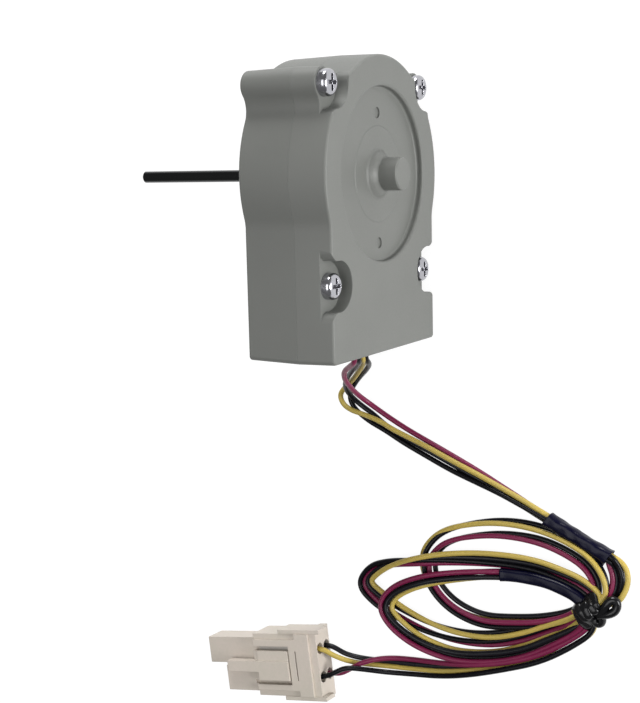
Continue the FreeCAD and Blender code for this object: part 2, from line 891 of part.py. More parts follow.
def inner_leads():
    """Four short wires from the board's pads to the holes in the bottom wall."""
    pad_x = float(size("board_margin") - board_drop)
    wall_x = float(size("lead_inset") - size("box_drop"))
    wires = [cord_shape(f"inner_lead_{number}", [(pad_x, float(y), float(board_back)),
                                                 (pad_x, float(y), float(parting)),
                                                 (wall_x, float(y), float(parting))],
                        float(size("wire")) / 2)
             for number, y in enumerate(lead_places())]
    return feature("inner_lead_group", Part.makeCompound(wires))


def case_screws():
    """Four pan head screws with cross recesses, driven from the front."""
    screws = []
    top = pocket_floor - size("head_height")
    bar = size("cross_arm") / 2
    reach = size("cross_half")
    for number, (x, y) in enumerate(SCREWS, 1):
        head = rod(f"head_{number}", size("head_radius"), top, pocket_floor, x, y)
        head = rounded(f"head_round_{number}", head, rim_at(top), size("head_round"))
        shank = rod(f"shank_{number}", size("screw_radius"), pocket_floor,
                    pocket_floor + size("screw_length") - size("screw_relief"), x, y)
        arms = [block(f"arm_{number}_{way}", x - across, x + across, y - along, y + along,
                      top - PAST, top + size("cross_depth"))
                for way, across, along in ((0, bar, reach), (1, reach, bar))]
        screws.append(cut(f"screw_{number}", fused(f"screw_blank_{number}", [head, shank]), arms))
    return grouped("screw_group", screws)


# Cords

BEND_SHARE = 0.45


def run_edges(points, closed=False):
    """Straight runs through the points, joined at each one by the largest arc that fits."""
    points = [Vector(*point) for point in points]
    count = len(points)
    corners = range(count) if closed else range(1, count - 1)
    edges = []
    radii = []
    here = None if closed else points[0]
    first = None
    for number in corners:
        corner = points[number]
        back = points[number - 1] - corner
        ahead = points[(number + 1) % count] - corner
        reach = BEND_SHARE * min(back.Length, ahead.Length)
        start = corner + Vector(back).normalize() * reach
        end = corner + Vector(ahead).normalize() * reach
        half_turn = (math.pi - back.getAngle(ahead)) / 2
        radius = reach / math.tan(half_turn)
        inward = (Vector(back).normalize() + Vector(ahead).normalize()).normalize()
        middle = corner + inward * (radius / math.cos(half_turn) - radius)
        if here is not None:
            edges.append(Part.makeLine(here, start))
        edges.append(Part.Arc(start, middle, end).toShape())
        first = first or start
        here = end
        radii.append(radius)
    edges.append(Part.makeLine(here, first if closed else points[-1]))
    return edges, radii


def feature(name, shape):
    """A piece whose shape no ready-made object gives."""
    piece = doc.addObject("Part::Feature", name)
    piece.Shape = shape
    return piece


def cord_shape(name, points, radius):
    """A round tube along its route, with its bends and its volume reported."""
    edges, radii = run_edges(points)
    path = Part.Wire(edges)
    heading = edges[0].tangentAt(edges[0].FirstParameter)
    section = Part.Wire([Part.makeCircle(radius, edges[0].Vertexes[0].Point, heading)])
    tube = path.makePipeShell([section], True, False)
    share = tube.Volume / (math.pi * radius ** 2 * path.Length)
    print(f"{name}: length {path.Length:.1f}, volume share {share:.4f}, "
          f"radii {[round(one, 1) for one in radii]}")
    return tube


LEAD_ROUTES = {
    "maroon": [
        (-47.9, -15.9, 21.35), (-50.0, -12.4, 15.85), (-51.8, -9.4, 11.05),
        (-53.8, -7.6, 6.45), (-56.2, -8.4, 2.65), (-59.2, -12.2, 0.85), (-62.8, -18.0, 0.75),
        (-66.0, -24.2, 0.75), (-68.9, -30.9, 0.75), (-72.0, -38.2, 0.75), (-75.0, -45.4, 0.85),
        (-78.3, -51.4, 1.05)],
    "grey": [
        (-49.0, -17.3, 19.25), (-51.3, -13.8, 14.65), (-53.5, -10.6, 10.25),
        (-56.0, -8.7, 6.05), (-59.0, -9.2, 2.65), (-62.1, -12.4, 0.85), (-64.8, -17.4, 0.75),
        (-67.6, -23.8, 0.75), (-70.6, -31.0, 0.75), (-73.7, -38.2, 0.75), (-76.7, -45.2, 0.75),
        (-79.8, -51.3, 1.05)],
    "yellow": [
        (-49.2, -19.4, 17.05), (-52.4, -15.8, 13.05), (-55.8, -11.4, 9.65),
        (-58.0, -8.2, 6.85), (-59.6, -6.4, 4.65), (-61.6, -5.8, 2.65), (-63.2, -7.0, 0.95),
        (-64.3, -9.8, 0.75), (-65.0, -13.4, 1.25), (-66.6, -19.8, 2.25), (-69.4, -28.2, 2.15),
        (-72.8, -36.6, 2.15), (-75.9, -44.6, 2.25), (-78.6, -51.0, 2.45)],
    "black": [
        (-48.8, -21.4, 15.25), (-52.4, -18.4, 11.65), (-56.0, -14.0, 8.25),
        (-59.4, -9.9, 5.45), (-62.3, -8.1, 3.75), (-65.0, -8.7, 2.45), (-66.7, -11.7, 1.25),
        (-67.9, -16.4, 0.75), (-69.6, -22.0, 0.75), (-72.2, -28.4, 0.75),
        (-75.2, -36.0, 1.05), (-78.0, -43.6, 1.65), (-80.3, -50.4, 2.45)],
}
SLEEVE_START = (-84.8, -63.0)
SLEEVE_END = (-92.6, -79.1)
HOOK = {
    "outer": [(-94.4, -83.5), (-97.6, -84.9), (-101.6, -84.5), (-105.0, -82.2), (-106.3, -77.4)],
    "inner": [(-95.2, -81.7), (-98.0, -82.9), (-101.2, -82.6), (-103.8, -80.9), (-104.7, -77.0)],
}
SLEEVE_OVERRUN = {"outer": 1.6, "inner": 0.4}
BUNDLE_RUN_UP = 7
BUNDLE_GAP = 0.04
TAIL_ROUTES = {
    "maroon": [
        (-110.6, -75.1, 2.3), (-116.0, -68.5, 2.3), (-120.8, -60.7, 2.3), (-124.2, -51.4, 2.3),
        (-126.3, -42.0, 2.2), (-127.3, -33.6, 1.6), (-127.9, -25.6, 0.9), (-128.6, -18.0, 1.2),
        (-130.3, -11.8, 2.7), (-133.0, -7.6, 3.3), (-134.8, -4.8, 3.1), (-135.3, -1.9, 2.9)],
    "grey": [
        (-110.6, -75.1, 0.75), (-116.0, -68.5, 0.75), (-120.8, -60.7, 0.75),
        (-124.3, -51.4, 0.75), (-127.1, -42.0, 0.75), (-128.9, -33.5, 0.75),
        (-129.8, -25.0, 0.75), (-130.4, -17.0, 0.75), (-130.6, -10.0, 0.8),
        (-129.6, -5.4, 1.8), (-128.2, -3.0, 2.6), (-127.5, -0.7, 2.9)],
    "yellow": [
        (-111.5, -76.4, 0.75), (-117.3, -69.4, 0.75), (-122.3, -61.3, 0.75),
        (-125.9, -51.8, 0.75), (-128.7, -42.2, 0.75), (-130.5, -33.6, 0.75),
        (-131.4, -24.8, 0.75), (-132.0, -16.6, 0.75), (-132.0, -10.4, 0.8),
        (-131.2, -6.2, 2.4), (-129.3, -3.2, 5.2), (-127.5, -0.7, 6.4)],
    "black": [
        (-111.5, -76.4, 2.3), (-117.3, -69.4, 2.3), (-122.3, -61.3, 2.3), (-126.0, -51.8, 2.3),
        (-129.6, -42.4, 2.1), (-132.1, -33.6, 0.9), (-133.1, -25.0, 0.75), (-133.5, -17.6, 1.4),
        (-132.3, -11.6, 4.0), (-131.9, -7.6, 5.7), (-133.6, -4.6, 6.3), (-135.3, -1.9, 6.4)],
}
TERMINAL_ROWS = (-4.3, 3.6)
TERMINAL_LEVELS = (2.9, 6.4)
TAIL_ENDS = {
    "maroon": (TERMINAL_ROWS[1], TERMINAL_LEVELS[0]),
    "grey": (TERMINAL_ROWS[0], TERMINAL_LEVELS[0]),
    "yellow": (TERMINAL_ROWS[0], TERMINAL_LEVELS[1]),
    "black": (TERMINAL_ROWS[1], TERMINAL_LEVELS[1]),
}
PLUG_PLACE = (-133.5, 10.5)
PLUG_HEADING = 98.5
COIL_OUTSIDE = [
    (-109.4, -75.2), (-104.8, -79.0), (-99.0, -80.2), (-94.8, -78.0), (-92.2, -71.5),
    (-88.3, -62.5), (-86.0, -52.5), (-87.4, -42.0), (-91.2, -33.0), (-97.0, -26.8),
    (-101.8, -17.0), (-104.2, -9.6), (-109.8, -7.4), (-113.4, -11.0), (-119.0, -24.0),
    (-124.2, -36.0), (-124.4, -44.0), (-121.6, -53.5), (-115.6, -64.5)]
COIL_INSIDE = [
    (-107.6, -35.6), (-104.9, -42.0), (-104.2, -50.0), (-104.2, -58.0), (-105.8, -67.5),
    (-109.0, -61.0), (-110.6, -52.0), (-110.4, -42.5)]
COIL_SLEEVE = [(-101.8, -49.6), (-101.4, -56.6), (-102.2, -64.0), (-104.2, -71.0)]
TIE_CENTRE = (-107.4, -72.9)
TIE_HEADING = 144


def floor():
    return -float(size("drum_radius"))


def plug_place():
    return Placement(Vector(PLUG_PLACE[0], PLUG_PLACE[1], floor()),
                     Rotation(Vector(0, 0, 1), PLUG_HEADING))


def sleeve_axes():
    """The direction of the lead sleeve and the direction across it."""
    along = Vector(SLEEVE_END[0] - SLEEVE_START[0], SLEEVE_END[1] - SLEEVE_START[1], 0)
    along.normalize()
    return along, Vector(-along.y, along.x, 0)


def bundle_point(place, colour):
    """A lead's own centre where the four run as a two by two bundle."""
    along, across = sleeve_axes()
    half = (float(size("wire")) + BUNDLE_GAP) / 2
    side = half if colour in ("maroon", "yellow") else -half
    rise = half if colour in ("yellow", "black") else -half
    return place + across * side + Vector(0, 0, rise)


def lead_route(colour, y):
    along, across = sleeve_axes()
    level = floor() + float(size("sleeve")) / 2
    start = Vector(SLEEVE_START[0], SLEEVE_START[1], level)
    end = Vector(SLEEVE_END[0], SLEEVE_END[1], level)
    ends = (size("lead_inset") - size("box_drop"), -size("lead_stub") - size("box_drop"))
    route = [tuple(LYING.multVec(Vector(float(x), y, float(parting)))) for x in ends]
    route += [(x, y, floor() + rise) for x, y, rise in LEAD_ROUTES[colour]]
    route.append(tuple(bundle_point(start - along * BUNDLE_RUN_UP, colour)))
    lane = "outer" if colour in ("maroon", "yellow") else "inner"
    route.append(tuple(bundle_point(end + along * SLEEVE_OVERRUN[lane], colour)))
    rise = bundle_point(start, colour).z
    return route + [(x, y, rise) for x, y in HOOK[lane]]


def lead_tubes():
    colours = ("maroon", "grey", "yellow", "black")
    return {colour: feature(f"lead_tube_{colour}", cord_shape(
        f"lead_{colour}", lead_route(colour, float(y)), float(size("wire")) / 2))
        for colour, y in zip(colours, lead_places())}


def tail_route(colour):
    """From the tie to the plug, ending in the bore of its own terminal."""
    row, level = TAIL_ENDS[colour]
    inside = size("wire_grip") - size("plug_length") / 2
    end = plug_place().multVec(Vector(float(inside), row, level))
    return [(x, y, floor() + rise) for x, y, rise in TAIL_ROUTES[colour]] + [tuple(end)]


def tail_tubes():
    return {colour: feature(f"tail_tube_{colour}", cord_shape(
        f"tail_{colour}", tail_route(colour), float(size("wire")) / 2))
        for colour in TAIL_ROUTES}


def lead_sleeve(leads):
    along, across = sleeve_axes()
    radius = float(size("sleeve")) / 2
    start = Vector(SLEEVE_START[0], SLEEVE_START[1], floor() + radius)
    length = math.dist(SLEEVE_START, SLEEVE_END)
    tube = feature("lead_sleeve_tube", Part.makeCylinder(radius, length, start, along))
    return cut("lead_sleeve_cut", tube, list(leads.values()))


def outline_face(points, level):
    return Part.Face(Part.Wire(run_edges([(x, y, level) for x, y in points], closed=True)[0]))


def coil_pieces():
    """The tied turns as one closed solid, the short sleeve in them and the tie round them."""
    high = Vector(0, 0, float(size("coil_height")))
    turns = outline_face(COIL_OUTSIDE, floor()).extrude(high)
    hole = outline_face(COIL_INSIDE, floor()).extrude(high)
    solid = rounded("coil_round", feature("coil_solid", turns.cut(hole)), is_level,
                    size("coil_round"))
    radius = float(size("coil_sleeve")) / 2
    route = [(x, y, floor() + radius) for x, y in COIL_SLEEVE]
    sleeve = feature("coil_sleeve_tube", cord_shape("coil_sleeve", route, radius))
    tie = block("tie_block", -size("tie_half"), size("tie_half"), -size("tie_inner"),
                size("tie_outer"), 0, size("tie_height"))
    tie = rounded("tie_round", tie, is_level, size("tie_edge"))
    tie.Placement = Placement(Vector(TIE_CENTRE[0], TIE_CENTRE[1], floor()),
                              Rotation(Vector(0, 0, 1), TIE_HEADING))
    coil = cut("coil_cut", solid, [sleeve])
    return coil, sleeve, cut("tie_cut", tie, [solid, sleeve])


# Plug, drawn with its nose towards +X, its middle at the origin and its base at zero height

# Each nose of the plug: how far it reaches, where its two sides are and how high it stands

PLUG_NOSES = {"long": (16.6, -7.1, 0.2, 6.6), "short": (10.5, 0.6, 7.6, 8.0)}
MOUTH_SHARE = 0.64


def terminal_places():
    return [(y, z) for y in TERMINAL_ROWS for z in TERMINAL_LEVELS]


def plug_nose(kind, front):
    """One of the plug's two noses and the square mouth in its end."""
    reach, right, left, height = PLUG_NOSES[kind]
    wall = size("nose_wall")
    nose = block(f"{kind}_nose", front - size("nose_root"), front + reach, right, left, 0, height)
    mouth = block(f"{kind}_mouth", front + reach * (1 - MOUTH_SHARE), front + reach + PAST,
                  wall + right, left - wall, wall, height - wall)
    return nose, mouth


def latch(front, top):
    """The raised latch on the plug with its arm, and the grooves round it."""
    back = -size("latch_back")
    right = -size("latch_right")
    left = size("latch_left")
    seam = -size("latch_seam")
    gap = size("latch_gap")
    slit = size("latch_slit")
    low = top - size("latch_sink")
    end = front - size("plug_wall")
    high = top + size("latch_rise")
    raised = [block("latch_shelf", back, end, right, seam, low, top + size("latch_rise") / 3),
              block("latch_plate", back, end, seam, left, low, high),
              block("latch_arm", end, front + size("latch_reach"), seam, size("latch_arm"),
                    low, high)]
    sides = back - slit
    strip = sides - size("latch_strip")
    grooves = [block("groove_right", sides, front + PAST, right - gap, right, low, top + PAST),
               block("groove_left", sides, front + PAST, left, left + gap, low, top + PAST),
               block("groove_back", sides, back, right, left, low, top + PAST),
               block("groove_collar", strip - slit, strip, right, left, low, top + PAST)]
    return raised, grooves


def plug_housing():
    back = -size("plug_length") / 2
    front = size("plug_length") / 2
    half = size("plug_width") / 2
    top = size("plug_height")
    step = top - size("latch_rise")
    noses, mouths = zip(*[plug_nose(kind, front) for kind in PLUG_NOSES])
    raised, grooves = latch(front, top)
    body = block("plug_body", back, front, -half, half, 0, top)
    room = size("terminal_side") / 2 + size("fit_gap") * 2
    rooms = [block(f"plug_room_{number}", back - PAST, front - size("plug_wall"), y - room,
                   y + room, z - room, z + room)
             for number, (y, z) in enumerate(terminal_places())]
    band = half - size("band_width")
    steps = [block("band_right", back + size("collar_length"), front + PAST, -half - PAST, -band,
                   step, top + PAST),
             block("band_left", back + size("collar_length"), front + PAST, band, half + PAST,
                   step, top + PAST)]
    solid = fused("plug_solid", [body] + raised + list(noses))
    return cut("plug_cut", solid, rooms + list(mouths) + grooves + steps)


def plug_retainer():
    """The clip behind the plug that locks its terminals, with an arm down each side."""
    back = -size("plug_length") / 2
    half = size("plug_width") / 2
    wall = size("plug_wall")
    rear = back - size("bar_thickness")
    pieces = [block("retainer_bar", rear, back, -half - wall, half + wall,
                    size("bar_low"), size("bar_high"))]
    for side, inner in (("right", -half - wall), ("left", half)):
        pieces.append(block(f"retainer_arm_{side}", rear, size("arm_reach"), inner,
                            inner + wall, size("arm_low"), size("arm_high")))
        pieces.append(block(f"retainer_hook_{side}", back - size("hook_reach"), rear,
                            inner, inner + wall, size("hook_low"), size("arm_high")))
    holes = [along_plug(f"retainer_hole_{number}", size("entry_radius"), rear - PAST,
                        back + PAST, y, z)
             for number, (y, z) in enumerate(terminal_places())]
    return cut("retainer_cut", fused("retainer_solid", pieces), holes)


def along_plug(name, radius, low, high, y, z):
    """A cylinder along the plug between two places on its length."""
    cylinder = rod(name, radius, low, high)
    cylinder.setExpression(".Placement.Base.z", None)
    cylinder.Placement = Placement(Vector(), Rotation(Vector(0, 1, 0), 90))
    place_at(cylinder, low, y, z)
    return cylinder


def plug_terminals():
    """Four crimped terminals, each a square box with a round barrel behind it."""
    back = -size("plug_length") / 2
    wall = size("plug_wall")
    side = size("terminal_side") / 2
    box_start = back + size("barrel_length") / 2
    pins = []
    for number, (y, z) in enumerate(terminal_places()):
        box = block(f"terminal_box_{number}", box_start, -back - wall, y - side, y + side,
                    z - side, z + side)
        barrel = along_plug(f"terminal_barrel_{number}", size("barrel_radius"), back,
                            back + size("barrel_length"), y, z)
        bore = along_plug(f"terminal_bore_{number}", size("wire") / 2, back - PAST,
                          back + size("wire_grip"), y, z)
        pins.append(cut(f"terminal_{number}",
                        fused(f"terminal_blank_{number}", [box, barrel]), [bore]))
    return grouped("terminal_group", pins)


# Placing on the table

def lean_angle():
    """How far the motor rolls from its drum until the corner of its box touches down."""
    drop = size("box_drop") - size("corner_round")
    half = box_half - size("corner_round")
    rest = size("drum_radius") - size("corner_round")
    return math.degrees(math.asin(rest / math.hypot(drop, half)) - math.atan2(half, drop))


LYING = Placement(Vector(), Rotation(Vector(0, 1, 0), -lean_angle())
                  * Rotation(Vector(1, 0, 0), -90))
AS_DRAWN = Placement()
PIECES = []


def keep(label, piece, placement=LYING):
    """Names a finished piece and puts it in its place on the table."""
    if any("Placement" in name for name, formula in piece.ExpressionEngine):
        piece = grouped(f"{label}_held", [piece])
    doc.recompute()
    piece.Label = label
    piece.Placement = placement * piece.Placement
    PIECES.append(piece)


def build_motor():
    keep("rear_shell", rear_shell())
    keep("front_shell", front_shell())
    keep("case_screws", case_screws())
    keep("shaft", shaft())
    keep("rotor_hub", rotor_hub())
    keep("rotor_magnet", rotor_magnet())
    keep("retaining_ring", retaining_ring())
    thick = size("washer_thickness")
    keep("shaft_washer", ring("washer_outer", running_radius, size("ring_radius"),
                              -size("ring_recess"),
                              -size("groove_width") - size("running_gap")))
    keep("rear_thrust_washer", ring("washer_rear", running_radius, size("nose_radius"),
                                    rear_bearing_end - thick, rear_bearing_end))
    keep("front_thrust_washer", ring("washer_front", running_radius, size("nose_radius"),
                                     front_bearing_end, front_bearing_end + thick))
    keep("rear_bearing", ring("bush_rear", running_radius, size("bearing_radius"),
                              rear_bearing_end, rear_seat))
    keep("front_bearing", ring("bush_front", running_radius, size("bearing_radius"),
                               front_seat, front_bearing_end))
    keep("rear_bearing_clip", ring("clip_rear", size("clip_bore"), size("bearing_radius"),
                                   rear_bearing_end - size("clip_thickness"), rear_bearing_end))
    keep("front_bearing_clip", ring("clip_front", size("clip_bore"), size("bearing_radius"),
                                    front_bearing_end, front_collar))
    keep("thrust_pad", rod("pad_rod", size("pad_radius"), nub_tip + size("nub_wall"), shaft_front))
    keep("stator_core", stator_core())
    keep("front_insulator", insulator("insulator_front",
                                      stator_front - size("insulator_thickness"), stator_front))
    keep("rear_insulator", insulator("insulator_rear", stator_rear,
                                     stator_rear + size("insulator_thickness")))
    keep("stator_windings", stator_windings())
    keep("circuit_board", circuit_board())
    keep("capacitor", capacitor())
    keep("driver_chip", chip("chip_block", beyond_stator, size("driver_side"), *DRIVER_CHIP))
    keep("hall_sensor", chip("hall_block", magnet_radius - size("hall_inset"), 0, *HALL_SENSOR))
    keep("winding_pins", winding_pins())
    keep("inner_leads", inner_leads())


def build_cords():
    leads = lead_tubes()
    for colour, tube in leads.items():
        keep(f"lead_{colour}", tube, AS_DRAWN)
    for colour, tube in tail_tubes().items():
        keep(f"tail_{colour}", tube, AS_DRAWN)
    keep("lead_sleeve", lead_sleeve(leads), AS_DRAWN)
    coil, sleeve, tie = coil_pieces()
    keep("wire_coil", coil, AS_DRAWN)
    keep("coil_sleeve", sleeve, AS_DRAWN)
    keep("coil_tie", tie, AS_DRAWN)


def build_plug():
    keep("plug_housing", plug_housing(), plug_place())
    keep("plug_retainer", plug_retainer(), plug_place())
    keep("plug_terminals", plug_terminals(), plug_place())


def check_and_write():
    """Stops on any failed object or bad shape, then writes one file for each piece."""
    doc.recompute()
    for thing in doc.Objects:
        if "Invalid" in thing.State or "Error" in thing.State:
            raise RuntimeError(f"{thing.Name} failed: {thing.State}")
    for piece in PIECES:
        shape = piece.Shape
        if shape.isNull() or not shape.isValid() or not shape.Solids:
            raise RuntimeError(f"{piece.Label} has no sound shape")
        shape.exportStep(f"parts/{piece.Label}.step")
        print(f"{piece.Label}: {len(shape.Solids)} solids, {shape.Volume:.1f} mm3")


build_motor()
build_cords()
build_plug()
os.makedirs("parts", exist_ok=True)
check_and_write()
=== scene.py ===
import math

import bmesh
import bpy
from mathutils import Matrix, Vector


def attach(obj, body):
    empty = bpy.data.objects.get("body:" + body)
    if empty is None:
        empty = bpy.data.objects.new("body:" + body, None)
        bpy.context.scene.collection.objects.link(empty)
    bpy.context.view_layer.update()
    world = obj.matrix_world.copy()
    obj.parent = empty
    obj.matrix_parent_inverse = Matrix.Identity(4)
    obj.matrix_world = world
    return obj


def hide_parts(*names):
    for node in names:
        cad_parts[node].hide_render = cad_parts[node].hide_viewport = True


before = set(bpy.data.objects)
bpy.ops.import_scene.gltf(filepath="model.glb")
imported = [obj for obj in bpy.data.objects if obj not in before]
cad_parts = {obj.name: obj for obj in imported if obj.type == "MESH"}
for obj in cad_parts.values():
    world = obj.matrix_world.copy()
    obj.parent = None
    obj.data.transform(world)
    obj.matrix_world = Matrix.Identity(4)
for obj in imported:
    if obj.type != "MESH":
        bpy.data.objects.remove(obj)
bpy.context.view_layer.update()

# Evaporator fan motor: looks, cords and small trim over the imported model. Lengths in the
# tables are millimetres in the model's own frame, and MM turns them into metres.

MM = 0.001

# Sizes that the model's source has too

DRUM_RADIUS = 28.25
BOX_DROP = 42.8
BOX_HALF = 26.2
CORNER_ROUND = 1.0
PARTING = -20.5
WIRE = 1.4
SLEEVE = 3.9
FLOOR = -DRUM_RADIUS

# The floor's reach in metres, its gap under the object, its grey, how much of it glows and
# how strongly, and the world's strength

FLOOR_REACH = 3.0
FLOOR_GAP = 0.02
FLOOR_GREY = 0.86
GLOW_SHARE = 0.8
GLOW_STRENGTH = 1.15
WORLD_STRENGTH = 0.2

# Place and aim in metres, side of the square lamp in metres, and watts

LAMPS = {
    "far_softbox": ((0.8, 0.05, 0.17), (0, 0, 0), 0.34, 6.3),
    "front_softbox": ((-0.05, -0.85, 0.17), (0, 0, 0), 0.34, 6.2),
    "top_softbox": ((-0.1, 0.0, 0.9), (-0.05, 0, 0), 0.7, 4.1),
}


# Camera, floor and light

def add_camera():
    """The photograph's viewpoint, fitted to the motor, the coil and the plug in it."""
    data = bpy.data.cameras.new("photo_camera")
    data.lens = 69.65
    data.sensor_width = 36
    data.clip_start = 0.01
    camera = bpy.data.objects.new("photo_camera", data)
    camera.matrix_world = Matrix((
        (0.00145, 0.99456, 0.10413, -0.008331),
        (-0.86405, 0.05367, -0.50053, -0.18148),
        (-0.5034, -0.08925, 0.85943, 0.290094),
        (0, 0, 0, 1)))
    bpy.context.scene.collection.objects.link(camera)
    bpy.context.scene.camera = camera


def add_light(name, place, aim, side, watts):
    data = bpy.data.lights.new(name, "AREA")
    data.shape = "SQUARE"
    data.size = side
    data.energy = watts
    light = bpy.data.objects.new(name, data)
    light.location = place
    light.rotation_euler = (Vector(aim) - Vector(place)).to_track_quat("-Z", "Y").to_euler()
    bpy.context.scene.collection.objects.link(light)


def node_maker(tree):
    """A function that makes a node and sets its properties, or else its inputs."""
    def make(kind, **values):
        node = tree.nodes.new(kind)
        for name, value in values.items():
            if hasattr(node, name):
                setattr(node, name, value)
            else:
                node.inputs[name.replace("_", " ")].default_value = value
        return node
    return make


def add_floor():
    """A pale floor that shows as white and keeps some of the object's shadow."""
    mesh = bpy.data.meshes.new("floor")
    side = FLOOR_REACH
    level = (FLOOR - FLOOR_GAP) * MM
    mesh.from_pydata([(-side, -side, level), (side, -side, level), (side, side, level),
                      (-side, side, level)], [], [(0, 1, 2, 3)])
    floor = bpy.data.objects.new("floor", mesh)
    bpy.context.scene.collection.objects.link(floor)
    material = bpy.data.materials.new("pale_floor")
    material.use_nodes = True
    tree = material.node_tree
    tree.nodes.clear()
    make = node_maker(tree)
    link = tree.links.new
    path = make("ShaderNodeLightPath")
    seen = make("ShaderNodeMath", operation="MAXIMUM")
    also = make("ShaderNodeMath", operation="MAXIMUM")
    share = make("ShaderNodeMath", operation="MULTIPLY")
    share.inputs[1].default_value = GLOW_SHARE
    link(path.outputs["Is Camera Ray"], seen.inputs[0])
    link(path.outputs["Is Glossy Ray"], seen.inputs[1])
    link(seen.outputs[0], also.inputs[0])
    link(path.outputs["Is Transmission Ray"], also.inputs[1])
    link(also.outputs[0], share.inputs[0])
    matte = make("ShaderNodeBsdfDiffuse", Color=(FLOOR_GREY, FLOOR_GREY, FLOOR_GREY, 1))
    glow = make("ShaderNodeEmission", Color=(1, 1, 1, 1), Strength=GLOW_STRENGTH)
    mix = make("ShaderNodeMixShader")
    link(share.outputs[0], mix.inputs[0])
    link(matte.outputs[0], mix.inputs[1])
    link(glow.outputs[0], mix.inputs[2])
    link(mix.outputs[0], make("ShaderNodeOutputMaterial").inputs["Surface"])
    mesh.materials.append(material)


def light_the_set():
    world = bpy.data.worlds.new("studio")
    world.use_nodes = True
    background = world.node_tree.nodes["Background"]
    background.inputs["Color"].default_value = (1, 1, 1, 1)
    background.inputs["Strength"].default_value = WORLD_STRENGTH
    bpy.context.scene.world = world
    bpy.context.scene.view_settings.view_transform = "Standard"
    for name, values in LAMPS.items():
        add_light(name, *values)


add_camera()
add_floor()
light_the_set()


# The wires' routes, moved from those of the model's source to follow the photograph: leads
# up to the first sleeve, hooks behind it, and tails from the tie to the plug. The third
# number of a point is its height above the floor.

LEAD_ROUTES = {
    "maroon": [
        (-47.7, -16.6, 20.2), (-49.6, -13.0, 17.0), (-52.0, -11.4, 13.8), (-54.6, -10.8, 9.6),
        (-57.4, -10.6, 4.6), (-60.1, -12.5, 1.2), (-63.4, -18.0, 0.75), (-66.5, -24.2, 0.75),
        (-69.3, -30.7, 0.75), (-72.4, -37.7, 0.75), (-75.6, -44.7, 0.8), (-78.8, -51.0, 0.9)],
    "grey": [
        (-47.4, -17.3, 17.2), (-50.5, -12.1, 11.8), (-53.5, -8.1, 7.6), (-56.2, -6.7, 4.4),
        (-58.7, -7.4, 1.8), (-60.8, -9.7, 0.75), (-62.6, -12.9, 0.75), (-66.0, -17.6, 0.75),
        (-68.8, -23.6, 0.75), (-71.7, -30.8, 0.75), (-74.8, -38.0, 0.75), (-77.7, -45.0, 0.75),
        (-80.5, -50.9, 0.9)],
    "yellow": [
        (-46.8, -18.3, 15.4), (-50.2, -13.5, 9.8), (-53.3, -9.2, 5.4), (-55.7, -5.3, 2.4),
        (-58.2, -2.9, 1.2), (-60.7, -4.3, 1.6), (-62.0, -7.3, 2.2), (-62.5, -9.8, 2.2),
        (-63.2, -12.5, 2.2), (-64.2, -15.8, 2.2), (-66.2, -19.8, 2.25), (-69.2, -28.2, 2.2),
        (-72.8, -36.6, 2.2), (-75.9, -44.6, 2.25), (-78.6, -51.0, 2.4)],
    "black": [
        (-47.4, -19.2, 14.4), (-49.6, -15.9, 10.0), (-51.7, -12.2, 6.2), (-54.4, -8.7, 3.2),
        (-56.9, -6.4, 1.4), (-59.0, -5.9, 0.75), (-60.9, -6.8, 0.75), (-62.5, -8.4, 0.75),
        (-64.8, -12.0, 0.75), (-66.8, -16.7, 0.75), (-69.6, -22.0, 0.75), (-72.4, -28.4, 0.75),
        (-75.6, -36.0, 1.05), (-78.0, -43.7, 1.65), (-80.0, -50.4, 2.4)],
}
SLEEVE_START = (-84.8, -63.0)
SLEEVE_END = (-92.6, -79.1)
HOOK = {
    "maroon": [
        (-94.6, -78.7, 1.4), (-97.4, -79.9, 1.5), (-100.2, -79.9, 1.7), (-103.0, -78.8, 2.2)],
    "grey": [
        (-94.9, -79.7, 0.8), (-97.7, -80.8, 0.8), (-100.4, -80.7, 0.9), (-103.2, -79.6, 1.4)],
    "black": [
        (-94.6, -81.2, 1.5), (-97.2, -82.3, 1.5), (-100.3, -82.0, 1.4), (-103.4, -80.6, 1.0)],
    "yellow": [
        (-94.2, -82.3, 0.8), (-97.1, -83.6, 0.8), (-100.6, -83.3, 1.2), (-104.2, -81.4, 2.8)],
}

# The wires' order round the corners of the bundle in the sleeve, how far its lower row is
# sheared aside, the gap left in it, and how far before the sleeve it is formed

BUNDLE = ("yellow", "black", "grey", "maroon")
CORNERS = ((1, 1), (-1, 1), (-1, -1), (1, -1))
SHEAR = 0.49
BUNDLE_GAP = 0.02
SLEEVE_LEAD = 7

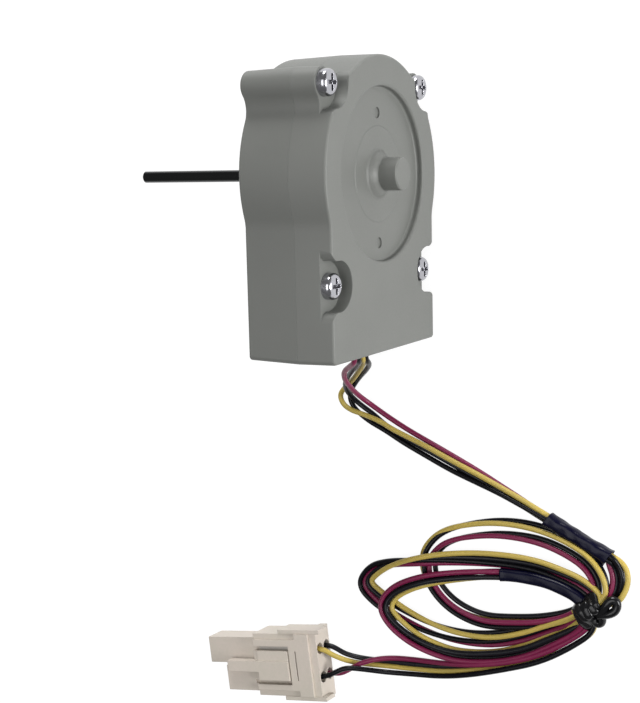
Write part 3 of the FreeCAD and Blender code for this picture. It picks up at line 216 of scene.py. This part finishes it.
TAIL_ROUTES = {
    "maroon": [
        (-110.6, -75.1, 2.3), (-116.0, -68.5, 2.3), (-120.8, -60.7, 2.3), (-124.2, -51.4, 2.3),
        (-126.3, -42.0, 2.2), (-127.3, -33.6, 1.6), (-127.9, -25.6, 0.9), (-128.6, -18.0, 1.2),
        (-130.3, -11.8, 2.7), (-133.0, -7.6, 3.3), (-134.8, -4.8, 3.1), (-135.3, -1.9, 2.9)],
    "grey": [
        (-110.6, -75.1, 0.75), (-116.0, -68.5, 0.75), (-120.8, -60.7, 0.75),
        (-124.2, -51.4, 0.75), (-126.8, -42.0, 0.8), (-128.5, -33.5, 0.9),
        (-129.2, -25.0, 0.9), (-129.8, -17.0, 0.8), (-130.3, -10.0, 0.8),
        (-129.6, -5.4, 1.8), (-128.2, -3.0, 2.6), (-127.5, -0.7, 2.9)],
    "yellow": [
        (-111.5, -76.4, 0.75), (-117.3, -69.4, 0.75), (-122.2, -61.3, 0.75),
        (-125.6, -51.8, 0.75), (-128.1, -42.2, 0.75), (-129.8, -33.6, 0.75),
        (-130.6, -24.8, 0.75), (-131.2, -16.6, 0.75), (-131.8, -10.4, 0.8),
        (-131.2, -6.2, 2.4), (-129.3, -3.2, 5.2), (-127.5, -0.7, 6.4)],
    "black": [
        (-111.5, -76.4, 2.3), (-117.3, -69.4, 2.3), (-122.3, -61.3, 2.3), (-125.8, -51.8, 2.3),
        (-128.9, -42.4, 2.1), (-131.2, -33.6, 0.9), (-132.1, -25.0, 0.75), (-132.7, -17.6, 1.4),
        (-132.1, -11.6, 4.0), (-131.9, -7.6, 5.7), (-133.6, -4.6, 6.3), (-135.3, -1.9, 6.4)],
}

# The plug's middle on the floor, its heading, its length, and where the tails end in it:
# how deep, how far aside and how high

PLUG_PLACE = (-133.5, 10.5)
PLUG_HEADING = 98.5
PLUG_LENGTH = 18.0
TAIL_DEPTH = 0.8
TAIL_ENDS = {
    "maroon": (3.6, 2.9), "grey": (-4.3, 2.9), "yellow": (-4.3, 6.4), "black": (3.6, 6.4)}

# The leads' sides in the box's end wall, how far inside it they start and how far outside
# it they run straight

LEAD_SIDES = {"maroon": 1.75, "grey": 3.25, "yellow": 4.75, "black": 6.25}
LEAD_INSIDE = 3.5
LEAD_OUTSIDE = 3.2

# The coil's three turns as they leave the tie, run along the near side, round the far end
# and back to it. Each has its own size, and the third number is the height above the floor.

TURNS = {
    "small": [
        (-108.8, -69.4, 1.0), (-111.6, -62.1, 1.0), (-113.1, -53.9, 0.8), (-114.0, -46.0, 0.8),
        (-112.5, -38.9, 0.8), (-109.6, -33.7, 0.8), (-105.5, -30.1, 0.8), (-101.3, -28.9, 0.8),
        (-97.1, -29.7, 0.8), (-92.2, -34.8, 0.8), (-89.4, -45.1, 0.8), (-88.7, -53.4, 0.8),
        (-89.5, -61.7, 1.0), (-91.6, -68.7, 1.4), (-94.4, -74.2, 1.8), (-98.8, -77.5, 2.2),
        (-103.0, -77.6, 2.0)],
    "middle": [
        (-109.9, -69.4, 1.6), (-112.7, -63.1, 1.0), (-116.0, -56.5, 0.8), (-118.6, -48.7, 0.8),
        (-119.3, -40.1, 0.8), (-118.2, -31.3, 0.8), (-115.4, -22.8, 0.8), (-112.0, -15.6, 0.8),
        (-108.9, -11.5, 0.8), (-105.5, -13.5, 1.0), (-102.1, -19.2, 2.2), (-99.5, -26.6, 3.6),
        (-97.6, -35.5, 2.8), (-96.7, -46.2, 1.0), (-96.6, -58.7, 0.9), (-98.3, -67.2, 1.4),
        (-100.2, -73.2, 1.7), (-103.9, -78.0, 1.9)],
    "large": [
        (-111.4, -71.3, 1.6), (-115.7, -64.2, 1.0), (-120.1, -57.1, 0.8), (-123.0, -48.8, 0.8),
        (-124.5, -39.1, 0.9), (-123.7, -32.5, 1.4), (-121.3, -26.3, 2.8), (-117.3, -20.8, 3.8),
        (-113.5, -18.3, 3.8), (-109.1, -21.0, 3.4), (-105.3, -28.3, 3.6), (-102.8, -37.7, 2.8),
        (-101.0, -49.5, 0.9), (-100.7, -56.8, 0.9), (-101.2, -63.9, 1.2), (-103.0, -70.4, 1.6),
        (-105.6, -73.8, 1.6)],
}

# In the tie the wires of a turn lie in a column, one above the other from its lowest, and
# turn to their own lanes within a small share of the turn on either side

TIE_CENTRE = (-106.9, -74.2)
TIE_HEADING = 128
TIE_COLUMNS = {"small": 2.2, "middle": 0.7, "large": -0.8}
TIE_ROWS = {"black": 0.0, "grey": 1.45, "maroon": 2.9, "yellow": 4.3}
TIE_LOWEST = 0.75
TIE_REACH = 0.06

# How far each wire runs outside its turn's middle line, and how much higher it lies, at
# each of FAN_PLACES, which are shares of the turn: beyond the tie, on the first side, at
# the far end, twice on the second side, and back at the tie

FANS = {
    "small": {
        "yellow": ((0.0, 0.0), (0.0, 0.0), (1.2, 0.3), (1.2, 1.4), (1.2, 1.4), (1.3, 1.4)),
        "black": ((1.2, 1.0), (1.4, 1.2), (-0.2, 1.5), (1.9, 0.0), (2.3, 0.0), (0.9, 0.0)),
        "maroon": ((0.0, 1.4), (0.0, 1.4), (-1.6, 1.2), (-2.2, 1.0), (-2.1, 0.9), (-2.0, 0.6)),
        "grey": ((-1.2, 0.2), (-1.4, 0.2), (-2.8, 0.0), (-1.6, 0.0), (-0.9, 0.0), (-0.8, 0.0))},
    "middle": {
        "yellow": ((-0.3, 1.4), (-0.6, 1.3), (-2.1, 1.3), (0.3, 1.3), (0.9, 1.3), (1.2, 1.3)),
        "grey": ((-1.2, 0.2), (-1.6, 0.2), (0.6, 0.2), (-0.5, 0.2), (-0.7, 0.2), (0.0, 0.2)),
        "maroon": ((1.6, 0.4), (1.7, 0.0), (2.0, 0.0), (-2.0, 0.0), (-2.3, 0.0), (-0.9, 0.0)),
        "black": ((0.3, 0.0), (0.6, 0.4), (3.7, 0.2), (-1.0, 0.4), (-1.8, 0.4), (-1.9, 0.4))},
    "large": {
        "maroon": ((1.6, 1.2), (1.3, 1.2), (1.3, 1.2), (1.2, 1.2), (0.7, 1.4), (0.7, 1.4)),
        "black": ((0.9, 0.0), (0.6, 0.0), (0.4, 0.0), (0.4, 0.0), (0.7, 0.0), (0.7, 0.0)),
        "grey": ((0.1, 1.4), (-0.9, 1.4), (-0.5, 1.2), (-0.4, 1.3), (-0.7, 1.4), (-0.7, 1.4)),
        "yellow": ((-1.4, 0.3), (-0.9, 0.0), (-1.8, 0.0), (-1.3, 0.0), (-0.7, 0.0),
                   (-0.7, 0.0))},
}
FAN_PLACES = (0.08, 0.22, 0.46, 0.65, 0.73, 0.95)


def motor_turn():
    """The turn that lays the motor on its side, as the model's source works it out."""
    drop = BOX_DROP - CORNER_ROUND
    half = BOX_HALF - CORNER_ROUND
    rest = DRUM_RADIUS - CORNER_ROUND
    lean = math.asin(rest / math.hypot(drop, half)) - math.atan2(half, drop)
    return Matrix.Rotation(-lean, 3, "Y") @ Matrix.Rotation(-math.pi / 2, 3, "X")


LYING = motor_turn()


def sleeve_axes():
    """The directions along and across the first sleeve, both level."""
    along = Vector((SLEEVE_END[0] - SLEEVE_START[0], SLEEVE_END[1] - SLEEVE_START[1], 0))
    along.normalize()
    return along, Vector((-along.y, along.x, 0))


def sleeve_ends():
    """The middle of the bundle where it is formed, and at the first sleeve's far end."""
    along, _ = sleeve_axes()
    level = FLOOR + SLEEVE / 2
    formed = Vector((*SLEEVE_START, level)) - along * SLEEVE_LEAD
    return formed, Vector((*SLEEVE_END, level))


def bundle_point(place, colour, twist=0):
    """A wire's place in the square bundle, whose lower row is sheared aside."""
    _, across = sleeve_axes()
    half = WIRE / 2 + BUNDLE_GAP
    side, rise = CORNERS[(BUNDLE.index(colour) - twist) % len(CORNERS)]
    aside = half * side - (SHEAR if rise < 0 else 0)
    return place + across * aside + Vector((0, 0, half * rise))


def lead_points(colour):
    """From inside the motor, through the sleeve with a quarter twist, to the hook's end."""
    formed, end = sleeve_ends()
    side = LEAD_SIDES[colour]
    points = [LYING @ Vector((x, side, PARTING))
              for x in (LEAD_INSIDE - BOX_DROP, -LEAD_OUTSIDE - BOX_DROP)]
    points += [Vector((x, y, FLOOR + rise)) for x, y, rise in LEAD_ROUTES[colour]]
    points.append(bundle_point(formed, colour))
    points.append(bundle_point(end, colour, 1))
    return points + [Vector((x, y, FLOOR + rise)) for x, y, rise in HOOK[colour]]


def blend_table(places, values, here):
    """Straight between neighbours of a short table."""
    if here <= places[0]:
        return values[0] * here / places[0]
    for number in range(1, len(places)):
        if here <= places[number]:
            share = (here - places[number - 1]) / (places[number] - places[number - 1])
            return values[number - 1] + (values[number] - values[number - 1]) * share
    return values[-1]


def turn_points(turn, colour):
    """One loose turn of one wire: through the tie, then its own lane round the coil."""
    heading = math.radians(TIE_HEADING)
    inward = Vector((math.sin(heading), -math.cos(heading), 0))
    column = Vector((*TIE_CENTRE, FLOOR + TIE_LOWEST)) + inward * TIE_COLUMNS[turn]
    points = [column + Vector((0, 0, TIE_ROWS[colour]))]
    route = [Vector((x, y, FLOOR + rise)) for x, y, rise in TURNS[turn]]
    fan = FANS[turn][colour]
    count = len(route)
    for number, place in enumerate(route):
        before = route[max(number - 1, 0)]
        after = route[min(number + 1, count - 1)]
        ahead = (after - before).normalized()
        outward = Vector((-ahead.y, ahead.x, 0)).normalized()
        here = (number + 1) / (count + 1)
        side, lift = (blend_table(FAN_PLACES, [pair[which] for pair in fan], here)
                      for which in (0, 1))
        near_tie = max(0, 1 - min(here, 1 - here) / TIE_REACH)
        lift = lift * (1 - near_tie) + TIE_ROWS[colour] * near_tie
        points.append(place + outward * side + Vector((0, 0, lift)))
    return points


def tail_points(colour):
    """From the tie to the bore of the wire's own terminal in the plug."""
    turn = Matrix.Rotation(math.radians(PLUG_HEADING), 3, "Z")
    inside = Vector((TAIL_DEPTH - PLUG_LENGTH / 2, *TAIL_ENDS[colour]))
    end = Vector((*PLUG_PLACE, FLOOR)) + turn @ inside
    return [Vector((x, y, FLOOR + rise)) for x, y, rise in TAIL_ROUTES[colour]] + [end]


def wire_points(colour):
    """The whole wire, from inside the motor to its terminal in the plug."""
    points = lead_points(colour)
    for turn in ("small", "middle", "large"):
        points += turn_points(turn, colour)
    return points + tail_points(colour)


def nurbs(name, points, radius, material):
    """A round cord whose control points are the points given in millimetres."""
    data = bpy.data.curves.new(name, "CURVE")
    data.dimensions = "3D"
    data.bevel_depth = radius * MM
    data.bevel_resolution = 4
    data.resolution_u = 8
    data.use_fill_caps = True
    spline = data.splines.new("NURBS")
    spline.points.add(len(points) - 1)
    for point, place in zip(spline.points, points):
        point.co = (*(Vector(place) * MM), 1)
    spline.order_u = 3
    spline.use_endpoint_u = True
    data.materials.append(material)
    cord = bpy.data.objects.new(name, data)
    bpy.context.scene.collection.objects.link(cord)
    return cord


# Materials: the noises' usual range, the fine noise's share in the colour, the scale of
# the slow drift, how far the roughness strays, and the samples of a softened edge

NOISE_RANGE = (0.3, 0.7)
FINE_SHARE = 0.35
DRIFT_SCALE = 60
ROUGH_STRAY = 0.07
LEAST_ROUGH = 0.03
COAT_ROUGH = 0.15
EDGE_SAMPLES = 6


def surface(name, colour, rough, metal=0.0, vary=0.06, grain=2500, bump=0.05, depth=0.02,
            coat=0.0, edge=0.0, stretch=(1, 1, 1), ior=1.5, stain=None):
    """A surface with its own grain, slow colour drift and softened edges."""
    material = bpy.data.materials.new(name)
    material.use_nodes = True
    tree = material.node_tree
    make = node_maker(tree)
    link = tree.links.new
    shader = tree.nodes["Principled BSDF"]
    shader.inputs["Metallic"].default_value = metal
    shader.inputs["IOR"].default_value = ior
    shader.inputs["Coat Weight"].default_value = coat
    shader.inputs["Coat Roughness"].default_value = COAT_ROUGH
    place = make("ShaderNodeTexCoord")
    scaled = make("ShaderNodeMapping", vector_type="POINT")
    scaled.inputs["Scale"].default_value = stretch
    link(place.outputs["Object"], scaled.inputs["Vector"])
    drift = make("ShaderNodeTexNoise", Scale=DRIFT_SCALE, Detail=4.0)
    fine = make("ShaderNodeTexNoise", Scale=grain, Detail=3.0)
    link(place.outputs["Object"], drift.inputs["Vector"])
    link(scaled.outputs["Vector"], fine.inputs["Vector"])
    dark = [channel * (1 - vary) for channel in (stain or colour)]
    light = [min(channel * (1 + vary), 1) for channel in colour]
    ramp = make("ShaderNodeValToRGB")
    for stop, spot, tone in zip(ramp.color_ramp.elements, NOISE_RANGE, (dark, light)):
        stop.position = spot
        stop.color = (*tone, 1)
    blend = make("ShaderNodeMix", data_type="FLOAT")
    blend.inputs[0].default_value = FINE_SHARE
    link(drift.outputs["Fac"], blend.inputs[2])
    link(fine.outputs["Fac"], blend.inputs[3])
    link(blend.outputs[0], ramp.inputs["Fac"])
    link(ramp.outputs["Color"], shader.inputs["Base Color"])
    spread = make("ShaderNodeMapRange")
    spread.inputs["From Min"].default_value = NOISE_RANGE[0]
    spread.inputs["From Max"].default_value = NOISE_RANGE[1]
    spread.inputs["To Min"].default_value = max(rough - ROUGH_STRAY, LEAST_ROUGH)
    spread.inputs["To Max"].default_value = min(rough + ROUGH_STRAY, 1)
    link(fine.outputs["Fac"], spread.inputs["Value"])
    link(spread.outputs["Result"], shader.inputs["Roughness"])
    relief = make("ShaderNodeBump", Strength=bump, Distance=depth * MM)
    link(fine.outputs["Fac"], relief.inputs["Height"])
    if edge:
        soft = make("ShaderNodeBevel", samples=EDGE_SAMPLES, Radius=edge * MM)
        link(soft.outputs["Normal"], relief.inputs["Normal"])
    link(relief.outputs["Normal"], shader.inputs["Normal"])
    return material


def make_materials():
    """The look of each slot."""
    return {
        "housing": surface("grey_plastic", (0.158, 0.163, 0.152), 0.5, vary=0.05, grain=2600,
                           bump=0.35, depth=0.03, edge=0.25),
        "screws": surface("bright_zinc", (0.44, 0.44, 0.47), 0.2, metal=1.0, grain=900,
                          bump=0.05, edge=0.12),
        "shaft": surface("ground_steel", (0.05, 0.052, 0.053), 0.16, metal=1.0, grain=1500,
                         bump=0.04, stretch=(1, 14, 1), edge=0.1),
        "hub": surface("hub_plastic", (0.05, 0.05, 0.05), 0.4, edge=0.2),
        "magnet": surface("ferrite", (0.07, 0.065, 0.065), 0.6, bump=0.3, edge=0.2),
        "spring_steel": surface("spring_steel", (0.4, 0.41, 0.42), 0.35, metal=1.0),
        "washer": surface("nylon", (0.75, 0.73, 0.66), 0.4),
        "bronze": surface("sintered_bronze", (0.5, 0.33, 0.17), 0.45, metal=1.0, bump=0.3),
        "laminations": surface("lamination_steel", (0.32, 0.33, 0.35), 0.4, metal=1.0,
                               grain=1800, stretch=(0.1, 3, 0.1), bump=0.5),
        "insulator": surface("insulator_plastic", (0.75, 0.73, 0.66), 0.5, edge=0.2),
        "copper": surface("enamelled_copper", (0.66, 0.26, 0.1), 0.3, metal=1.0, grain=2200,
                          stretch=(0.2, 3, 0.2), bump=0.8, depth=0.1, edge=0.2),
        "tinned": surface("tin_plate", (0.5, 0.48, 0.45), 0.55, metal=1.0, vary=0.03, bump=0.01),
        "board": surface("solder_mask", (0.02, 0.13, 0.05), 0.35, grain=800, coat=0.4),
        "can": surface("sleeved_can", (0.03, 0.03, 0.045), 0.35, edge=0.2),
        "black_plastic": surface("chip_plastic", (0.015, 0.015, 0.015), 0.5, edge=0.1),
        "wire_maroon": surface("maroon_insulation", (0.17, 0.009, 0.052), 0.4, vary=0.12,
                               grain=1400, bump=0.06, ior=1.4),
        "wire_grey": surface("charcoal_insulation", (0.006, 0.006, 0.009), 0.32, vary=0.2,
                             grain=1400, bump=0.06, ior=1.32),
        "wire_yellow": surface("yellow_insulation", (0.48, 0.35, 0.072), 0.42, vary=0.12,
                               grain=1400, bump=0.06, ior=1.4, stain=(0.44, 0.35, 0.085)),
        "wire_black": surface("black_insulation", (0.003, 0.003, 0.005), 0.3, vary=0.2,
                              grain=1400, bump=0.06, ior=1.28),
        "sleeve": surface("navy_film", (0.001, 0.001, 0.013), 0.3, vary=0.2, grain=500,
                          bump=0.05, depth=0.04, ior=1.28),
        "tie": surface("tie_film", (0.003, 0.003, 0.004), 0.26, vary=0.2, grain=900,
                       bump=0.25, depth=0.06, ior=1.42),
        "plug": surface("ivory_nylon", (0.6, 0.525, 0.47), 0.45, vary=0.04, grain=1200,
                        bump=0.1, edge=0.25, stain=(0.56, 0.52, 0.44)),
    }


LOOKS = make_materials()

SLOT_NODES = {
    "housing": ("rear_shell", "front_shell"),
    "screws": ("case_screws",),
    "shaft": ("shaft",),
    "hub": ("rotor_hub",),
    "magnet": ("rotor_magnet",),
    "spring_steel": ("retaining_ring", "rear_bearing_clip", "front_bearing_clip"),
    "washer": ("shaft_washer", "rear_thrust_washer", "front_thrust_washer", "thrust_pad"),
    "bronze": ("rear_bearing", "front_bearing"),
    "laminations": ("stator_core",),
    "insulator": ("front_insulator", "rear_insulator"),
    "copper": ("stator_windings",),
    "tinned": ("winding_pins", "plug_terminals"),
    "board": ("circuit_board",),
    "can": ("capacitor",),
    "black_plastic": ("driver_chip", "hall_sensor"),
    "wire_black": ("inner_leads",),
    "sleeve": ("lead_sleeve", "coil_sleeve"),
    "tie": ("coil_tie",),
    "plug": ("plug_housing", "plug_retainer"),
}


def dress_nodes():
    """Give every node of the model its slot's look."""
    for slot, nodes in SLOT_NODES.items():
        for node in nodes:
            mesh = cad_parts[node].data
            if not mesh.materials:
                mesh.materials.append(LOOKS[slot])
            for number in range(len(mesh.materials)):
                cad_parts[node].material_slots[number].material = LOOKS[slot]


dress_nodes()


# Wires

def add_wires():
    """Four whole wires in place of the leads, the coil and the tails."""
    for colour in LEAD_SIDES:
        wire = nurbs(f"wire_{colour}", wire_points(colour), WIRE / 2, LOOKS[f"wire_{colour}"])
        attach(wire, "root")
        nodes = [f"lead_{colour}", f"tail_{colour}"]
        if colour == "yellow":
            nodes.append("wire_coil")
        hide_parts(*nodes)


def skin(name, rings, looks, closed=False):
    """A smooth skin over rings of points; a closed one joins the last ring to the first."""
    mesh = bpy.data.meshes.new(name)
    build = bmesh.new()
    rows = [[build.verts.new(point * MM) for point in ring] for ring in rings]
    following = rows[1:] + rows[:1] if closed else rows[1:]
    for first, second in zip(rows, following):
        for step in range(len(first)):
            after = (step + 1) % len(first)
            build.faces.new((first[step], first[after], second[after], second[step]))
    if closed:
        bmesh.ops.recalc_face_normals(build, faces=build.faces)
    build.to_mesh(mesh)
    build.free()
    for face in mesh.polygons:
        face.use_smooth = True
    mesh.materials.append(looks)
    piece = bpy.data.objects.new(name, mesh)
    bpy.context.scene.collection.objects.link(piece)
    return piece


# Film sleeves on the wires: the film's thickness and its room outside the wires' middle
# lines, the sleeves' stations and points round, and between which control points of the
# large turn the second sleeve lies

FILM = 0.14
FILM_ROOM = WIRE / 2 + 0.19
LEAD_STATIONS = 90
LEAD_AROUND = 72
COIL_STATIONS = 100
COIL_AROUND = 64
COIL_FILM = (13.2, 17.0)

# The first sleeve's flat seam: its direction round the bundle, its width, its reach, and
# how fast it widens

SEAM_TURN = math.radians(188)
SEAM_WIDTH = 0.2
SEAM_REACH = 0.55
SEAM_GROWTH = 2.2

# The films' wrinkles as waves (height, along, round), and how much and over which share of
# the length a film's ends flare or run askew

LEAD_WAVES = ((0.025, 19, 3), (0.02, 31, -2))
LEAD_FLARE = (0.05, 0.06)
LEAD_ASKEW = (0.4, 0.3)
COIL_WAVES = ((0.015, 21, 3), (0.015, 13, -1))
COIL_FLARE = (0.04, 0.04)


def swept(name, places, section, around, looks):
    """A thin open tube: section(share, turn) gives each point's offset from the middle line."""
    rings = []
    count = len(places)
    for number, place in enumerate(places):
        before = places[max(number - 1, 0)]
        after = places[min(number + 1, count - 1)]
        ahead = Vector((after.x - before.x, after.y - before.y, 0)).normalized()
        across = Vector((ahead.y, -ahead.x, 0))
        ring = []
        for step in range(around):
            angle = 2 * math.pi * step / around
            out, up, slip = section(number / (count - 1), angle)
            ring.append(place + across * out + Vector((0, 0, up)) + ahead * slip)
        rings.append(ring)
    piece = skin(name, rings, looks)
    thick = piece.modifiers.new("film", "SOLIDIFY")
    thick.thickness = FILM * MM
    thick.offset = 1
    return piece


def at_ends(share, amount, width):
    """The amount at either end of a sleeve, falling to nothing within the given width."""
    return amount * max(0, 1 - min(share, 1 - share) / width)


def wrinkle(waves, share, angle):
    return sum(height * math.sin(share * along + around * angle)
               for height, along, around in waves)


def bump_at(angle, middle, width):
    """A smooth bump round one direction of a section, one high."""
    turn = (angle - middle + math.pi) % (2 * math.pi) - math.pi
    return math.exp(-(turn / width) ** 2)


def rounded_square(angle):
    """The reach of a unit square with well rounded corners."""
    return (abs(math.cos(angle)) ** 3 + abs(math.sin(angle)) ** 3) ** (-1 / 3)


def hug(stations):
    """The middle and the half sizes of a bundle at each of its stations."""
    count = len(stations)
    middles = [sum(wires, Vector()) / len(wires) for wires in stations]
    halves = []
    for number, wires in enumerate(stations):
        ahead = middles[min(number + 1, count - 1)] - middles[max(number - 1, 0)]
        across = Vector((ahead.y, -ahead.x, 0)).normalized()
        away = [wire - middles[number] for wire in wires]
        halves.append((max(abs(gap.dot(across)) for gap in away) + FILM_ROOM,
                       max(abs(gap.z) for gap in away) + FILM_ROOM))
    return middles, halves


def lead_film(halves):
    """The first sleeve: its seam, which widens towards the hook, faces the coil, and its
    slightly wrinkled film flares and runs askew at the ends."""
    def section(share, angle):
        wide, high = halves[round(share * (len(halves) - 1))]
        seam = SEAM_REACH * bump_at(angle, SEAM_TURN, SEAM_WIDTH) * min(1, SEAM_GROWTH * share)
        uneven = 1 + wrinkle(LEAD_WAVES, share, angle) + at_ends(share, *LEAD_FLARE)
        reach = rounded_square(angle) * uneven
        slip = math.cos(angle) * at_ends(share, *LEAD_ASKEW)
        return -wide * math.cos(angle) * (reach + seam), high * math.sin(angle) * reach, slip
    return section


def coil_film(halves):
    """The second sleeve, less wrinkled and cut square."""
    def section(share, angle):
        wide, high = halves[round(share * (len(halves) - 1))]
        uneven = 1 + wrinkle(COIL_WAVES, share, angle) + at_ends(share, *COIL_FLARE)
        reach = rounded_square(angle) * uneven
        return wide * math.cos(angle) * reach, high * math.sin(angle) * reach, 0.0
    return section


def cord_place(points, here):
    """The place on a cord's curve nearest the control point of that number."""
    nearest = round(here)
    share = here - nearest + 0.5
    before, at, after = points[nearest - 1:nearest + 2]
    return (before * (0.5 * (1 - share) ** 2) + at * (0.5 + share - share ** 2)
            + after * (0.5 * share ** 2))


def add_sleeves():
    """The film on the leads' bundle and on the large turn's, each hugging its wires."""
    formed, end = sleeve_ends()
    length = (Vector(SLEEVE_END) - Vector(SLEEVE_START)).length
    stations = []
    for number in range(LEAD_STATIONS):
        gone = SLEEVE_LEAD + length * number / (LEAD_STATIONS - 1)
        share = gone / (SLEEVE_LEAD + length)
        stations.append([bundle_point(formed, colour).lerp(bundle_point(end, colour, 1), share)
                         for colour in BUNDLE])
    middles, halves = hug(stations)
    lead = swept("lead_film", middles, lead_film(halves), LEAD_AROUND, LOOKS["sleeve"])
    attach(lead, "root")
    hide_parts("lead_sleeve")
    first, last = COIL_FILM
    turns = [turn_points("large", colour) + tail_points(colour)[:1] for colour in BUNDLE]
    stations = []
    for number in range(COIL_STATIONS):
        here = first + (last - first) * number / (COIL_STATIONS - 1)
        stations.append([cord_place(points, here) for points in turns])
    middles, halves = hug(stations)
    coil = swept("coil_film", middles, coil_film(halves), COIL_AROUND, LOOKS["sleeve"])
    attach(coil, "root")
    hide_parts("coil_sleeve")


# The tie: wraps of a flat strip, each drawn tight round the wires, and its knot. STRIP is
# the strip's section as (side, rise). Each wrap has its slip along the bundle from the
# tie's middle, the slant of its lie, and its room outside the wires' middle lines.

STRIP = ((-1.15, -0.16), (-0.8, -0.26), (0.8, -0.26), (1.15, -0.16), (1.15, 0.1),
         (0.75, 0.36), (0, 0.5), (-0.75, 0.36), (-1.15, 0.1))
WRAPS = ((-3.6, 0.3, 0.7), (-2.3, -0.25, 0.95), (-0.9, 0.3, 1.05), (0.5, -0.2, 1.0),
         (1.8, 0.3, 0.75))
WRAP_LIMIT = 3.8
WRAP_POINTS = 96
WRAP_LOWEST = 0.08
SLANT_RATE = 0.6
LINE_STEPS = 8
KNOT_RADIUS = 1.08
KNOT_LOOPS = {
    "tie_loop": [(-106.6, -77.4, 3.8), (-105.6, -78.6, 4.3), (-104.0, -79.4, 4.6),
                 (-102.7, -80.4, 4.4), (-102.6, -81.6, 4.1), (-103.9, -82.0, 3.9),
                 (-105.4, -81.5, 4.0), (-106.2, -80.3, 4.2), (-106.8, -78.6, 4.0),
                 (-107.2, -77.2, 3.6)],
    "tie_end": [(-107.4, -76.2, 4.4), (-108.4, -75.8, 3.8), (-109.4, -76.2, 3.0),
                (-109.6, -77.2, 2.6), (-108.7, -78.0, 2.9), (-107.4, -78.0, 3.6)],
}


def crossings(lines, turn, centre, slip):
    """Where the wires pass one plane across the tie, in the tie's own frame, no farther
    aside than WRAP_LIMIT."""
    found = []
    for line in lines:
        local = [turn.inverted() @ (place - centre) for place in line]
        for before, after in zip(local, local[1:]):
            if (before.x - slip) * (after.x - slip) <= 0 and before.x != after.x:
                place = before.lerp(after, (slip - before.x) / (after.x - before.x))
                if abs(place.y) < WRAP_LIMIT:
                    found.append(place)
    return found


def tight_line(places, room, count):
    """A closed line of even points drawn tight round the places, this far outside them."""
    line = []
    for number in range(count):
        angle = 2 * math.pi * number / count
        away = Vector((0, math.cos(angle), math.sin(angle)))
        line.append(max(places, key=lambda place: place.dot(away)) + away * room)
    even = []
    lengths = [(line[(number + 1) % count] - line[number]).length for number in range(count)]
    step = sum(lengths) / count
    number, gone = 0, 0.0
    for wanted in range(count):
        while gone + lengths[number] < wanted * step and number < count - 1:
            gone += lengths[number]
            number += 1
        share = (wanted * step - gone) / max(lengths[number], 1e-6)
        even.append(line[number].lerp(line[(number + 1) % count], min(share, 1)))
    return even


def add_wrap(name, lines, slip, slant, room):
    """One closed wrap of the strip, lying a little askew across the bundle."""
    turn = Matrix.Rotation(math.radians(TIE_HEADING), 3, "Z")
    centre = Vector((*TIE_CENTRE, FLOOR))
    line = tight_line(crossings(lines, turn, centre, slip), room, WRAP_POINTS)
    middle = sum(line, Vector()) / len(line)
    rings = []
    for number, place in enumerate(line):
        ahead = (line[(number + 1) % len(line)] - line[number - 1]).normalized()
        out = ahead.cross(Vector((1, 0, 0))).normalized()
        if out.dot(place - middle) < 0:
            out = -out
        lean = Vector((slip + slant * math.sin((place.y - middle.y) * SLANT_RATE), 0, 0))
        ring = []
        for side, rise in STRIP:
            point = Vector((0, place.y, place.z)) + lean + Vector((side, 0, 0)) + out * rise
            point.z = max(point.z, WRAP_LOWEST)
            ring.append(centre + turn @ point)
        rings.append(ring)
    wrap = skin(name, rings, LOOKS["tie"], closed=True)
    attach(wrap, "root")
    return wrap


def add_tie():
    """The wraps round all four wires, and the knot's loop and end."""
    lines = []
    for colour in LEAD_SIDES:
        points = wire_points(colour)
        steps = range(LINE_STEPS, LINE_STEPS * (len(points) - 2))
        lines.append([cord_place(points, number / LINE_STEPS) for number in steps])
    for number, values in enumerate(WRAPS, 1):
        wrap = add_wrap(f"tie_wrap_{number}", lines, *values)
        if number == 1:
            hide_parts("coil_tie")
    for name, points in KNOT_LOOPS.items():
        places = [(x, y, FLOOR + rise) for x, y, rise in points]
        loop = nurbs(name, places, KNOT_RADIUS, LOOKS["tie"])
        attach(loop, "root")


add_wires()
add_sleeves()
add_tie()
